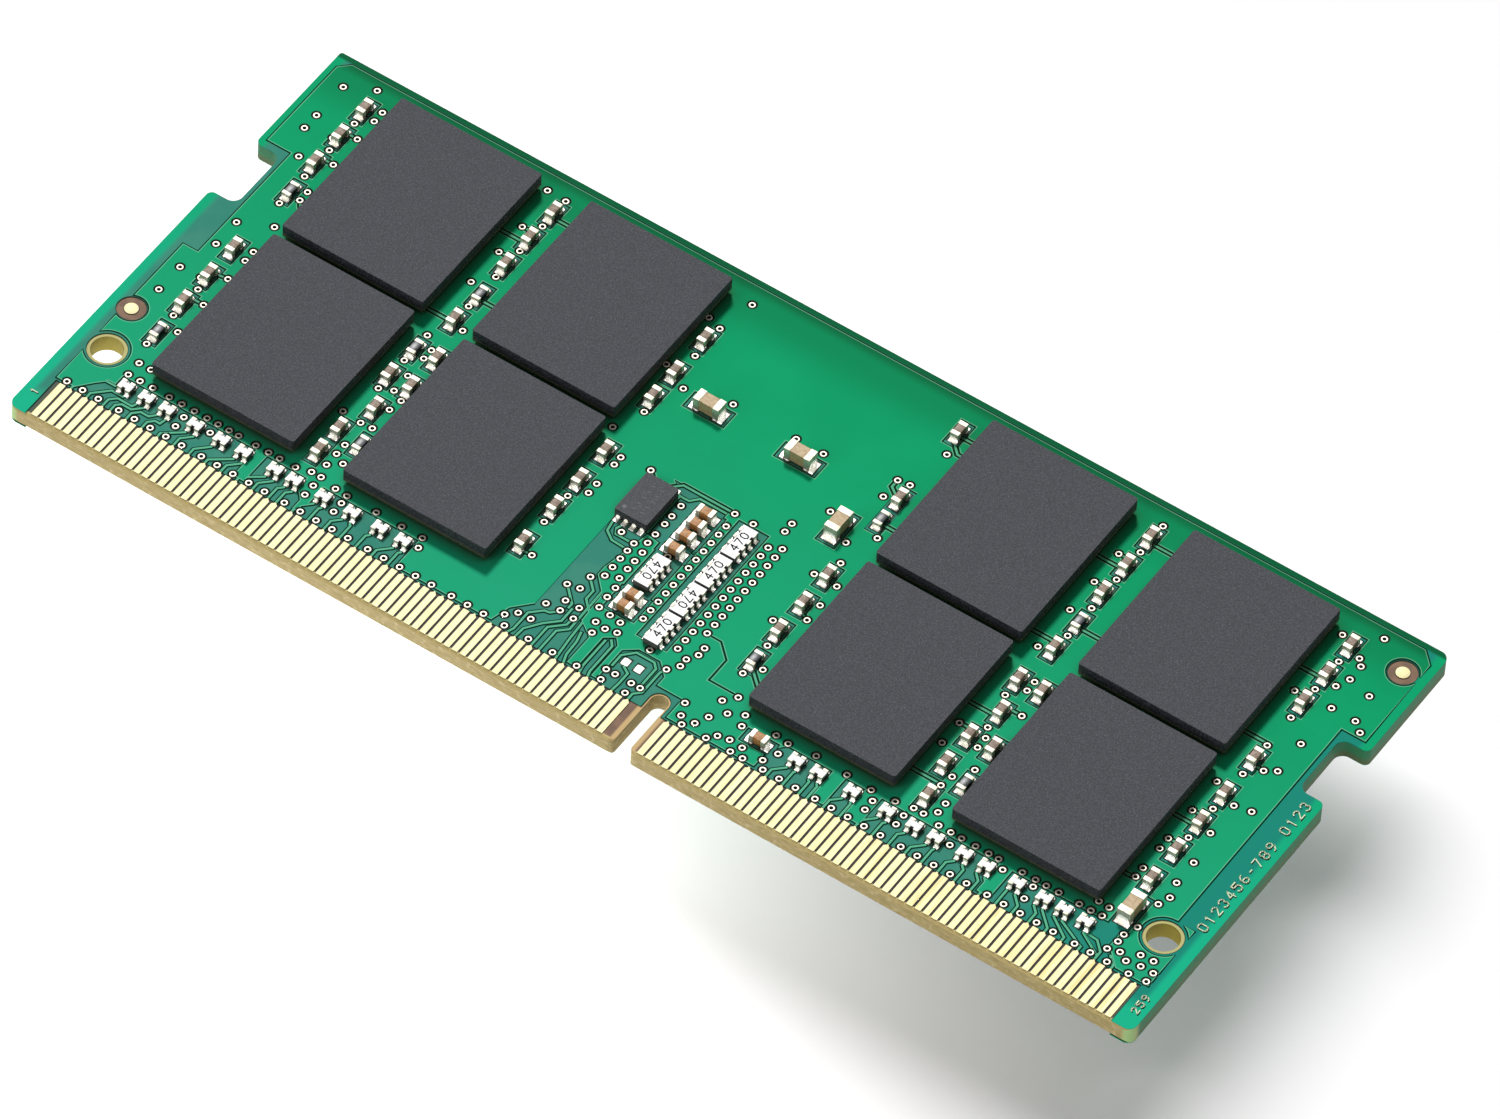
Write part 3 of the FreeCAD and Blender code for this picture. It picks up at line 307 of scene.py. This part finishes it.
def contact_finish():
    """Gold plating; each contact has its own slight tint, the lower ends are rubbed paler, and the upright
    sides are painted dark as shade.
    """
    f = Finish("contact_gold", 0.75, metallic=1.0)
    number = f.math("FLOOR", f.math("DIVIDE", f.math("ADD", f.x, 0.25), 0.5))
    tint = f.add("ShaderNodeTexWhiteNoise", None, number, noise_dimensions="1D").outputs[0]
    rightward = f.step(f.x, 0.0, 34.0)
    strength = f.math("ADD", 0.15, f.math("MULTIPLY", rightward, 0.45))
    base = f.mix(f.math("MULTIPLY", tint, strength), colour("DCD6B0"), colour("D4C07C"))
    rubbed = f.step(f.noise(0.5, 2.0, (3, 0.5, 1)), 0.4, 0.7)
    base = f.mix(f.math("MULTIPLY", rubbed, 0.4), base, colour("E2DBB8"))
    streaks = f.noise(0.08, 2.0, (1, 0.08, 1))
    # Painted shade: the upright sides are a dark brown that stands for their bare metal in deep shade.
    base = f.mix(f.upright(), base, colour("3B2C14"))
    rough = f.math("ADD", 0.66, f.math("MULTIPLY", streaks, 0.14))
    return f.finish(base, rough, f.bump(streaks, 0.002, 0.5))


def ceramic_finish(name, code, other, roughness=0.55, side=None):
    """Fine-grained ceramic, with painted shade on its upright sides where a side colour is given."""
    f = Finish(name, roughness, specular=0.4)
    grain = f.noise(0.05, 3.0)
    base = vary(f, code, other, 0.15)
    # Painted shade: the upright sides take the darker side colour.
    if side:
        base = f.mix(f.upright(), base, colour(side))
    return f.finish(base, normal=f.bump(grain, 0.006, 0.5))


def plain_finish(name, code, roughness):
    """One colour with a faint grain, for marks and for the painted shade of holes and shade lines."""
    f = Finish(name, roughness, specular=0.2)
    grain = f.noise(0.03, 2.0)
    base = f.mix(grain, colour(code), [part * 0.6 for part in colour(code)[:3]] + [1.0])
    return f.finish(base, normal=f.bump(grain, 0.002, 0.4))


FINISHES = {
    "laminate": laminate_finish(),
    "copper": metal_finish("copper", "D79A78", "B9744E", 0.45),
    "solder_mask": mask_finish("solder_mask", 0.5, 0.02),
    "contact_gold": contact_finish(),
    "solder_finish": metal_finish("solder_finish", "FEFAEE", "F4EEDC", 0.64, 0.06, 0.003),
    "legend_ink": ceramic_finish("legend_ink", "DCE6C2", "BCD0A8", 0.6),
    "chip_mould": mould_finish("chip_mould", "202227", "383A41"),
    "chip_substrate": ceramic_finish("chip_substrate", "4A4C34", "3A3E2A"),
    "silicon": ceramic_finish("silicon", "7C7D84", "6A6B74", 0.3),
    "solder": metal_finish("solder", "FCFBF6", "E9E6DB", 0.5, 0.16, 0.02, 0.75),
    "tinned_terminal": metal_finish("tinned_terminal", "E6E2D6", "CBC5B2", 0.6, 0.1, 0.008, 0.85),
    "capacitor_ceramic": ceramic_finish("capacitor_ceramic", "94806E", "745F50"),
    "supply_ceramic": ceramic_finish("supply_ceramic", "B98650", "9E6B3A"),
    "bulk_ceramic": ceramic_finish("bulk_ceramic", "BCA57E", "A98F68"),
    "resistor_coat": ceramic_finish("resistor_coat", "33343A", "26272B", 0.35),
    # The white network bodies get painted shade on their upright sides.
    "white_ceramic": ceramic_finish("white_ceramic", "F7F7F5", "E9E9EA", 0.5, "5C5C5A"),
    "eeprom_mould": mould_finish("eeprom_mould", "303236", "3E4044"),
}
# Mask tones for the relief strips: painted shade in the valleys and on the rims, a painted highlight on the
# crests.
PAINTED_VALLEY_SHADE = mask_finish("solder_mask_valley_painted_shade", 0.5, 0.02, "01160E", 0.92)
PAINTED_CREST_HIGHLIGHT = mask_finish("solder_mask_crest_painted_highlight", 0.4, 0.05, "A6DDBE", 0.26)
PAINTED_RIM_SHADE = mask_finish("solder_mask_rim_painted_shade", 0.5, 0.05, "03140D", 0.85)
# Near black for the via holes and the gaps round the rings: painted shade.
HOLE_SHADE = plain_finish("hole_painted_shade", "080604", 0.95)
INK = plain_finish("marking_ink", "0D0E10", 0.8)
PALE_MARK = plain_finish("laser_mark", "74767C", 0.7)
SHADE = plain_finish("legend_shade", "061A10", 0.8)


# ---------------------------------------------------------------- shapes
def cad_mesh(node, dissolve=True):
    """A CAD node's shape as one welded mesh, in metres, with whole flat faces."""
    source = NODES[node].data
    mesh = bmesh.new()
    corners = [mesh.verts.new(vertex.co) for vertex in source.vertices]
    for face in source.polygons:
        mesh.faces.new([corners[index] for index in face.vertices])
    bmesh.ops.remove_doubles(mesh, verts=mesh.verts, dist=WELD)
    if dissolve:
        bmesh.ops.dissolve_limit(mesh, angle_limit=FLAT, verts=mesh.verts, edges=mesh.edges)
    mesh.normal_update()
    return mesh


def islands(node):
    """The separate solids of a node, each as a list of its corner places in millimetres."""
    mesh = cad_mesh(node, dissolve=False)
    seen = set()
    found = []
    for start in mesh.verts:
        if start in seen:
            continue
        seen.add(start)
        waiting = [start]
        places = []
        while waiting:
            vertex = waiting.pop()
            places.append(vertex.co / MM)
            for edge in vertex.link_edges:
                other = edge.other_vert(vertex)
                if other not in seen:
                    seen.add(other)
                    waiting.append(other)
        found.append(places)
    mesh.free()
    return found


def extent(places):
    """The lowest and highest corner of the box round some places."""
    low = Vector([min(place[axis] for place in places) for axis in range(3)])
    high = Vector([max(place[axis] for place in places) for axis in range(3)])
    return low, high


class Shape:
    """Corners in millimetres and faces, gathered for one piece."""

    def __init__(self):
        self.corners = []
        self.faces = []
        self.slots = []

    def add(self, corners, faces, slot=0):
        base = len(self.corners)
        self.corners += [tuple(corner) for corner in corners]
        self.faces += [[base + index for index in face] for face in faces]
        self.slots += [slot] * len(faces)

    def loft(self, sections, slot=0):
        """Joins closed sections of equal count in turn, and caps both ends."""
        count = len(sections[0])
        faces = []
        for row in range(len(sections) - 1):
            for index in range(count):
                after = (index + 1) % count
                near, far = row * count, (row + 1) * count
                faces.append((near + index, near + after, far + after, far + index))
        last = (len(sections) - 1) * count
        faces.append(tuple(range(count))[::-1])
        faces.append(tuple(last + index for index in range(count)))
        self.add([corner for section in sections for corner in section], faces, slot)

    def lathe(self, x, y, profile, segments, slot=0):
        """A turned solid on a vertical axis through (x, y) from (radius, z) places."""
        sections = []
        for radius, z in profile:
            turns = [2 * math.pi * index / segments for index in range(segments)]
            sections.append([(x + radius * math.cos(turn), y + radius * math.sin(turn), z) for turn in turns])
        self.loft(sections, slot)


def flip(face):
    """The way a face looks along z."""
    return 1 if face == "front" else -1


def level(face, height):
    """z of a height over the laminate on one face."""
    return MIDDLE + flip(face) * (HALF_BOARD + height)


def height_of(z):
    """The height over the laminate of a z on either face."""
    return abs(z - MIDDLE) - HALF_BOARD


def as_piece(name, mesh, materials, nodes, sharp=40):
    """Adds a finished mesh as a piece that rides on the card and stands for CAD nodes."""
    for material in materials:
        mesh.materials.append(material)
    mesh.polygons.foreach_set("use_smooth", [True] * len(mesh.polygons))
    mesh.set_sharp_from_angle(angle=math.radians(sharp))
    item = bpy.data.objects.new(name, mesh)
    bpy.context.scene.collection.objects.link(item)
    item.modifiers.new("even_shading", "WEIGHTED_NORMAL").keep_sharp = True
    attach(item, ROOT)
    if nodes:
        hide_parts(*nodes)
    return item


def shape_piece(name, shape, materials, nodes, sharp=40):
    """Adds a gathered shape as a piece, with its faces turned outward."""
    mesh = bpy.data.meshes.new(name)
    mesh.from_pydata([[part * MM for part in corner] for corner in shape.corners], [], shape.faces)
    mesh.polygons.foreach_set("material_index", shape.slots)
    fixed = bmesh.new()
    fixed.from_mesh(mesh)
    bmesh.ops.recalc_face_normals(fixed, faces=fixed.faces)
    fixed.to_mesh(mesh)
    fixed.free()
    return as_piece(name, mesh, materials, nodes, sharp)


def sharp_edges(solid):
    return [edge for edge in solid.edges if len(edge.link_faces) == 2 and edge.calc_face_angle(0) > SHARP]


def is_upright(edge):
    run = edge.verts[1].co - edge.verts[0].co
    return abs(run.z) > 0.9 * run.length


def rounded_piece(node, width, segments=2, corner=0.0):
    """A CAD node with its sharp edges rounded, and its upright edges by more where it has a corner width."""
    solid = cad_mesh(node)
    if corner:
        upright = [edge for edge in sharp_edges(solid) if is_upright(edge)]
        bmesh.ops.bevel(solid, geom=upright, offset=corner * MM, segments=4, profile=0.5,
                        affect="EDGES", clamp_overlap=True)
    bmesh.ops.bevel(solid, geom=sharp_edges(solid), offset=width * MM, segments=segments, profile=0.5,
                    affect="EDGES", clamp_overlap=True)
    mesh = bpy.data.meshes.new(node + "_rounded")
    solid.to_mesh(mesh)
    solid.free()
    return as_piece(node + "_rounded", mesh, [FINISHES[SLOT_OF[node]]], [node])


# ---------------------------------------------------------------- plated holes, balls and joints
def via_piece(face):
    """Each plated ring with a rounded crown; its hole and the gap round it are near black, as painted shade.
    """
    node = "via_rings_" + face
    shape = Shape()
    for places in islands(node):
        low, high = extent(places)
        centre = (low + high) / 2
        outer = (high.x - low.x) / 2
        tall = high.z - low.z
        inner = outer * VIA_HOLE_SHARE
        ring = ((outer, 0), (outer * 0.99, tall * 0.6), (outer * 0.9, tall * 0.92), (outer * 0.75, tall),
                (inner * 1.1, tall * 0.85), (inner, tall * 0.2))
        shape.lathe(centre.x, centre.y, [(radius, level(face, rise)) for radius, rise in ring], 24)
        # Painted shade: a near-black sheet in the gap round the ring, where the laminate shows, and a
        # near-black wall in the hole.
        gap = [(VIA_GAP, level(face, 0.002)), (VIA_GAP, level(face, 0.012))]
        shape.lathe(centre.x, centre.y, gap, 24, 1)
        hole = [(inner * 1.02, level(face, 0.012)), (inner * 1.02, level(face, tall * 0.4))]
        shape.lathe(centre.x, centre.y, hole, 24, 1)
    shape_piece(node + "_crowned", shape, [FINISHES["solder_finish"], HOLE_SHADE], [node])


def ball_piece(face):
    """Solder balls, flattened at both ends as they reflow."""
    node = "dram_solder_balls_" + face
    shape = Shape()
    for places in islands(node):
        low, high = extent(places)
        centre = (low + high) / 2
        radius = (high.x - low.x) / 2
        profile = [(radius * wide, low.z + part * (high.z - low.z)) for wide, part in BALL_PROFILE]
        shape.lathe(centre.x, centre.y, profile, 10)
    shape_piece(node + "_reflowed", shape, [FINISHES["solder"]], [node])


def joint_sections(places, face):
    """Cross-sections of one joint: flat under the terminal, then a hollow slope down to a round toe."""
    low, high = extent(places)
    tops = [height_of(place.z) for place in places]
    top = max(tops)
    crest = [place for place, height in zip(places, tops) if height > top - 0.002]
    crest_low, crest_high = extent(crest)
    spread = crest_high - crest_low
    run = 0 if spread.x < spread.y else 1
    side = 1 - run
    width = high[side] - low[side]
    middle = (high[side] + low[side]) / 2
    if spread[run] > 0.05:
        rows = []
        for part in (0, 0.12, 0.3, 0.5, 0.7, 0.88, 1):
            swell = math.sin(math.pi * part)
            place = low[run] + (high[run] - low[run]) * part
            rows.append((place, top * (0.55 + 0.45 * swell), 0.93 + 0.07 * swell))
    else:
        end = crest_low[run]
        outward = 1 if high[run] - end > end - low[run] else -1
        toe = high[run] if outward > 0 else low[run]
        inner = low[run] if outward > 0 else high[run]
        rows = [(inner, JOINT_SEAT, 1.0), (end - outward * 0.002, JOINT_SEAT, 1.0)]
        for part in (0, 0.1, 0.25, 0.42, 0.6, 0.78, 0.92, 1):
            slope = (1 - part) ** 2.1
            corner = math.sqrt(max(0.0, 1 - max(0.0, (part - 0.7) / 0.3) ** 2 * 0.55))
            share = (0.86 + 0.14 * min(1, part * 2)) * corner
            rows.append((end + (toe - end) * part, TOE_T + (top - TOE_T) * slope, share))
    sections = []
    for place, height, share in rows:
        half = width / 2 * share
        section = []
        for across, drop in JOINT_ARCH:
            corner = [0, 0, level(face, height * drop)]
            corner[run] = place
            corner[side] = middle + across * half
            section.append(corner)
        sections.append(section)
    return sections


def joint_piece(face):
    """Every solder joint of one face."""
    node = "solder_joints_" + face
    shape = Shape()
    for places in islands(node):
        shape.loft(joint_sections(places, face))
    shape_piece(node + "_reflowed", shape, [FINISHES["solder"]], [node], 60)


# ---------------------------------------------------------------- relief of the solder mask
def mitre(normals):
    """Offset of a corner that keeps a unit distance from each wall that meets there."""
    if len(normals) == 1:
        return normals[0].copy()
    total = normals[0] + normals[-1]
    reach = total.dot(normals[0])
    return total / max(reach, 0.5)


def wall_strips(walls, inward, outward, low, high, shape, slot):
    """Strips along the walls from inward of them at height high to outward of them at height low."""
    corners = {}
    for first, second, normal in walls:
        for place in (first, second):
            corners.setdefault((round(place.x, 4), round(place.y, 4)), []).append(normal)
    for first, second, normal in walls:
        ends = []
        for place in (first, second):
            shift = mitre(corners[(round(place.x, 4), round(place.y, 4))])
            ends.append((place.xy - shift * inward, place.xy + shift * outward))
        shape.add([(*ends[0][0], high), (*ends[1][0], high), (*ends[1][1], low), (*ends[0][1], low)],
                  [(0, 1, 2, 3)], slot)


def relief_piece(face):
    """Slopes at the edges of the copper under the mask, and the thin rims of the mask's openings, coloured
    with painted shade in the valleys and on the rims and a painted highlight along the crests.
    """
    solid = cad_mesh("solder_mask_" + face)
    board = cad_mesh("pcb_laminate")
    below = BVHTree.FromBMesh(board)
    board.free()
    steps = []
    rims = {}
    for wall in solid.faces:
        if abs(wall.normal.z) > 0.1 or len(wall.verts) != 4:
            continue
        heights = [height_of(vertex.co.z / MM) for vertex in wall.verts]
        top = max(heights)
        crest = [vertex.co / MM for vertex, height in zip(wall.verts, heights) if height > top - 0.004]
        if len(crest) != 2:
            continue
        normal = wall.normal.xy.normalized()
        if min(heights) > 0.04:
            steps.append((crest[0], crest[1], normal))
            continue
        probe = (crest[0] + crest[1]) / 2 * MM
        probe.xy += normal * 0.06 * MM
        probe.z = (MIDDLE + flip(face) * 2) * MM
        hit = below.ray_cast(probe, Vector((0, 0, -flip(face))))[0]
        if hit is not None and abs(height_of(hit.z / MM)) < 0.01:
            rims.setdefault(round(top, 3), []).append((crest[0], crest[1], normal))
    solid.free()
    shape = Shape()
    lower = MASK_TOP - 0.025
    crest = level(face, MASK_TOP + 0.0012)
    # Painted shade down each slope into the valley, and a painted highlight along each crest.
    wall_strips(steps, 0.01, 0.075, level(face, lower + 0.001), crest, shape, 0)
    wall_strips(steps, 0.055, -0.01, crest, crest, shape, 1)
    # Painted shade along the rims of the mask's openings.
    for top, walls in rims.items():
        wall_strips(walls, 0.035, 0.0, level(face, top + 0.0006), level(face, top + 0.0018), shape, 2)
    mesh = bpy.data.meshes.new("solder_mask_relief_" + face)
    mesh.from_pydata([[part * MM for part in corner] for corner in shape.corners], [], shape.faces)
    mesh.polygons.foreach_set("material_index", shape.slots)
    as_piece("solder_mask_relief_" + face, mesh, [PAINTED_VALLEY_SHADE, PAINTED_CREST_HIGHLIGHT, PAINTED_RIM_SHADE], [])


# ---------------------------------------------------------------- markings
DIGITS = {
    "4": (((0.62, 0), (0.62, 1), (0, 0.32), (0.9, 0.32)),),
    "7": (((0, 1), (0.85, 1), (0.3, 0)),),
    "0": (((0.25, 0), (0, 0.25), (0, 0.75), (0.25, 1), (0.6, 1), (0.85, 0.75), (0.85, 0.25), (0.6, 0),
           (0.25, 0)),),
}
VALUE = "470"
TURNED_NETWORKS = (Vector((-1.36, LOW_EDGE + 10.2)), Vector((1.2, LOW_EDGE + 9.7)))


def stroke(shape, first, second, width, low, high, slot=0):
    """A raised bar with a slight crown from one place to another."""
    run = (second - first).normalized()
    side = Vector((-run.y, run.x)) * width / 2
    sections = []
    for place in (first - run * width * 0.4, second + run * width * 0.4):
        ring = [place - side, place - side * 0.7, place + side * 0.7, place + side]
        sections.append([(*corner, z) for corner, z in zip(ring, (low, high, high, low))])
    shape.loft(sections, slot)


def network_marks(face):
    """A three-figure value on each resistor network, reading up the card; two stand the other way."""
    shape = Shape()
    tall, step = 0.44, 0.47
    bodies = [extent(places) for places in islands("termination_network_bodies_" + face)]
    for low, high in bodies:
        centre = (low + high) / 2
        turn = -1 if any((centre.xy - place).length < 0.5 for place in TURNED_NETWORKS) else 1
        for index, digit in enumerate(VALUE):
            along = (index - 1) * step
            for line in DIGITS[digit]:
                points = []
                for across, rise in line:
                    x = (0.5 - rise) * tall
                    y = along + (across - 0.42) * tall * 0.75
                    points.append(Vector((centre.x + turn * x, centre.y + turn * y)))
                for first, second in zip(points, points[1:]):
                    stroke(shape, first, second, 0.085, high.z - 0.004, high.z + 0.004)
    shape_piece("termination_network_marks_" + face, shape, [INK], [])


def eeprom_marks():
    """Faint laser-cut dashes in two rows and a pin-one dot on the EEPROM, which carry no wording."""
    shape = Shape()
    low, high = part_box("eeprom_body_front")
    low, high = low / MM, high / MM
    top = high.z
    for row, length in ((0.42, 0.14), (0.68, 0.2)):
        for column in range(5):
            x = low.x + (high.x - low.x) * row
            y = low.y + 0.55 + column * 0.45
            ends = Vector((x - length / 2, y)), Vector((x + length / 2, y + 0.05))
            stroke(shape, *ends, 0.05, top - 0.003, top + 0.0015)
    dot = [(0.12, top - 0.003), (0.12, top + 0.001)]
    shape.lathe(low.x + 0.35, low.y + 0.4, dot, 20)
    shape_piece("eeprom_marks_front", shape, [PALE_MARK], [])


def legend_shade():
    """A painted shadow: a dark sheet along the lower right of each stroke of the raised legend, where it
    would cast one.
    """
    shape = Shape()
    for places in islands("legend"):
        low = extent(places)[0]
        if low.z < MIDDLE:
            continue
        foot = [place for place in places if place.z < low.z + 0.005]
        ring = outline(foot)
        z = low.z + 0.002
        shape.add([(x + 0.06, y - 0.045, z) for x, y in ring], [tuple(range(len(ring)))])
    shape_piece("legend_shade_front", shape, [SHADE], [])


def outline(places):
    """Places of a convex patch in order round its middle."""
    middle = sum((place.xy for place in places), Vector((0, 0))) / len(places)
    return sorted(((place.x, place.y) for place in places),
                  key=lambda place: math.atan2(place[1] - middle.y, place[0] - middle.x))


# ---------------------------------------------------------------- the whole card
for face in FACES:
    via_piece(face)
    ball_piece(face)
    joint_piece(face)
    relief_piece(face)
network_marks("front")
eeprom_marks()
legend_shade()

ROUNDED = {
    "dram_mould": (0.04, 3, 0.14),
    "dram_substrates": (0.02, 1, 0.14),
    "decoupling_capacitor_bodies": (0.02, 2),
    "decoupling_capacitor_terminals": (0.035, 3),
    "bulk_capacitor_bodies": (0.03, 2),
    "bulk_capacitor_terminals": (0.05, 3),
    "supply_capacitor_bodies": (0.025, 2),
    "supply_capacitor_terminals": (0.04, 3),
    "reference_resistor_bodies": (0.015, 2),
    "reference_resistor_terminals": (0.02, 2),
    "series_array_bodies": (0.02, 2),
    "series_array_terminals": (0.015, 2),
    "termination_network_bodies": (0.02, 2),
    "termination_network_terminals": (0.02, 2),
    "eeprom_body": (0.04, 3, 0.08),
    "eeprom_leads": (0.02, 2),
    "contacts_left": (0.01, 1),
    "contacts_right": (0.01, 1),
    "fiducials": (0.015, 2),
    "legend": (0.008, 1),
}
for node in sorted(NODES):
    family = max((name for name in ROUNDED if node.startswith(name)), key=len, default=None)
    if family:
        rounded_piece(node, *ROUNDED[family])
    else:
        NODES[node].data.materials.clear()
        NODES[node].data.materials.append(FINISHES[SLOT_OF[node]])


# ---------------------------------------------------------------- floor, light and camera
FLOOR_DROP = 7.0 * MM


def make_floor():
    """A plain pale floor below the card."""
    half = 3.0
    z = CAD_LOW.z - FLOOR_DROP
    mesh = bpy.data.meshes.new("floor")
    corners = [(-half, -half, z), (half, -half, z), (half, half, z), (-half, half, z)]
    mesh.from_pydata(corners, [], [(0, 1, 2, 3)])
    f = Finish("floor", 0.8, specular=0.1)
    mesh.materials.append(f.finish(vary(f, "F6F4F5", "F4F2F3", 60.0)))
    floor = bpy.data.objects.new("floor", mesh)
    bpy.context.scene.collection.objects.link(floor)
    return floor


def lamp(name, kind, energy, toward, receivers, blockers=None, angle=0.0, place=(0, 0, 0), size=0.0):
    """A light that shines from one direction and lights only its receivers."""
    light = bpy.data.lights.new(name, kind)
    light.energy = energy
    if kind == "SUN":
        light.angle = math.radians(angle)
    else:
        light.shadow_soft_size = size
    item = bpy.data.objects.new(name, light)
    item.rotation_mode = "QUATERNION"
    item.rotation_quaternion = Vector(toward).to_track_quat("Z", "Y")
    item.location = Vector(place) * MM
    bpy.context.scene.collection.objects.link(item)
    item.light_linking.receiver_collection = receivers
    if blockers:
        item.light_linking.blocker_collection = blockers


def gather(name, items):
    group = bpy.data.collections.new(name)
    for item in items:
        group.objects.link(item)
    return group


def make_light(floor):
    """A soft key from behind and to the left, a fill from the front left, and an even pale surround.
    The floor has a broader key of its own, so the card's shadow on it stays soft and pale."""
    pieces = [item for item in bpy.context.scene.objects if item.type == "MESH" and item is not floor]
    card = gather("lit_card", pieces)
    metal = gather("lit_metal", [item for item in pieces if "joints" in item.name or "leads" in item.name])
    ground = gather("lit_floor", [floor])
    lamp("key", "SUN", 3.2, (-0.415, 0.519, 0.747), card, angle=11)
    lamp("fill", "SUN", 0.85, (-0.42, -0.74, 0.52), card, angle=35)
    lamp("glint", "SUN", 2.2, (-0.2, -0.8, 0.5), metal, angle=20)
    lamp("side_glint", "SUN", 2.2, (0.75, 0.5, 0.42), metal, angle=25)
    lamp("floor_key", "SUN", 3.0, (-0.3, 0.42, 0.86), ground, angle=48)
    lamp("floor_fill", "POINT", 0.056, (0, 0, 1), ground, ground, place=(-15, -18, 18), size=0.01)
    world = bpy.data.worlds.new("surround")
    world.use_nodes = True
    world.node_tree.nodes["Background"].inputs[0].default_value = (0.98, 0.99, 1.0, 1.0)
    world.node_tree.nodes["Background"].inputs[1].default_value = 0.24
    bpy.context.scene.world = world


def make_camera():
    """A long lens from the front right, high above the card."""
    camera = bpy.data.cameras.new("camera")
    camera.sensor_width = 36.0
    camera.lens = 344.7
    camera.clip_start, camera.clip_end = 0.01, 20.0
    right = Vector((0.82746, 0.55973, 0.04481))
    above = Vector((-0.45717, 0.62520, 0.63255))
    back = Vector((0.32604, -0.54390, 0.77322))
    turn = Matrix((right, above, back)).transposed()
    item = bpy.data.objects.new("camera", camera)
    item.matrix_world = Matrix.Translation(Vector((243.2, -403.1, 574.0)) * MM) @ turn.to_4x4()
    bpy.context.scene.collection.objects.link(item)
    bpy.context.scene.camera = item


make_light(make_floor())
make_camera()
bpy.context.scene.view_settings.view_transform = "Standard"
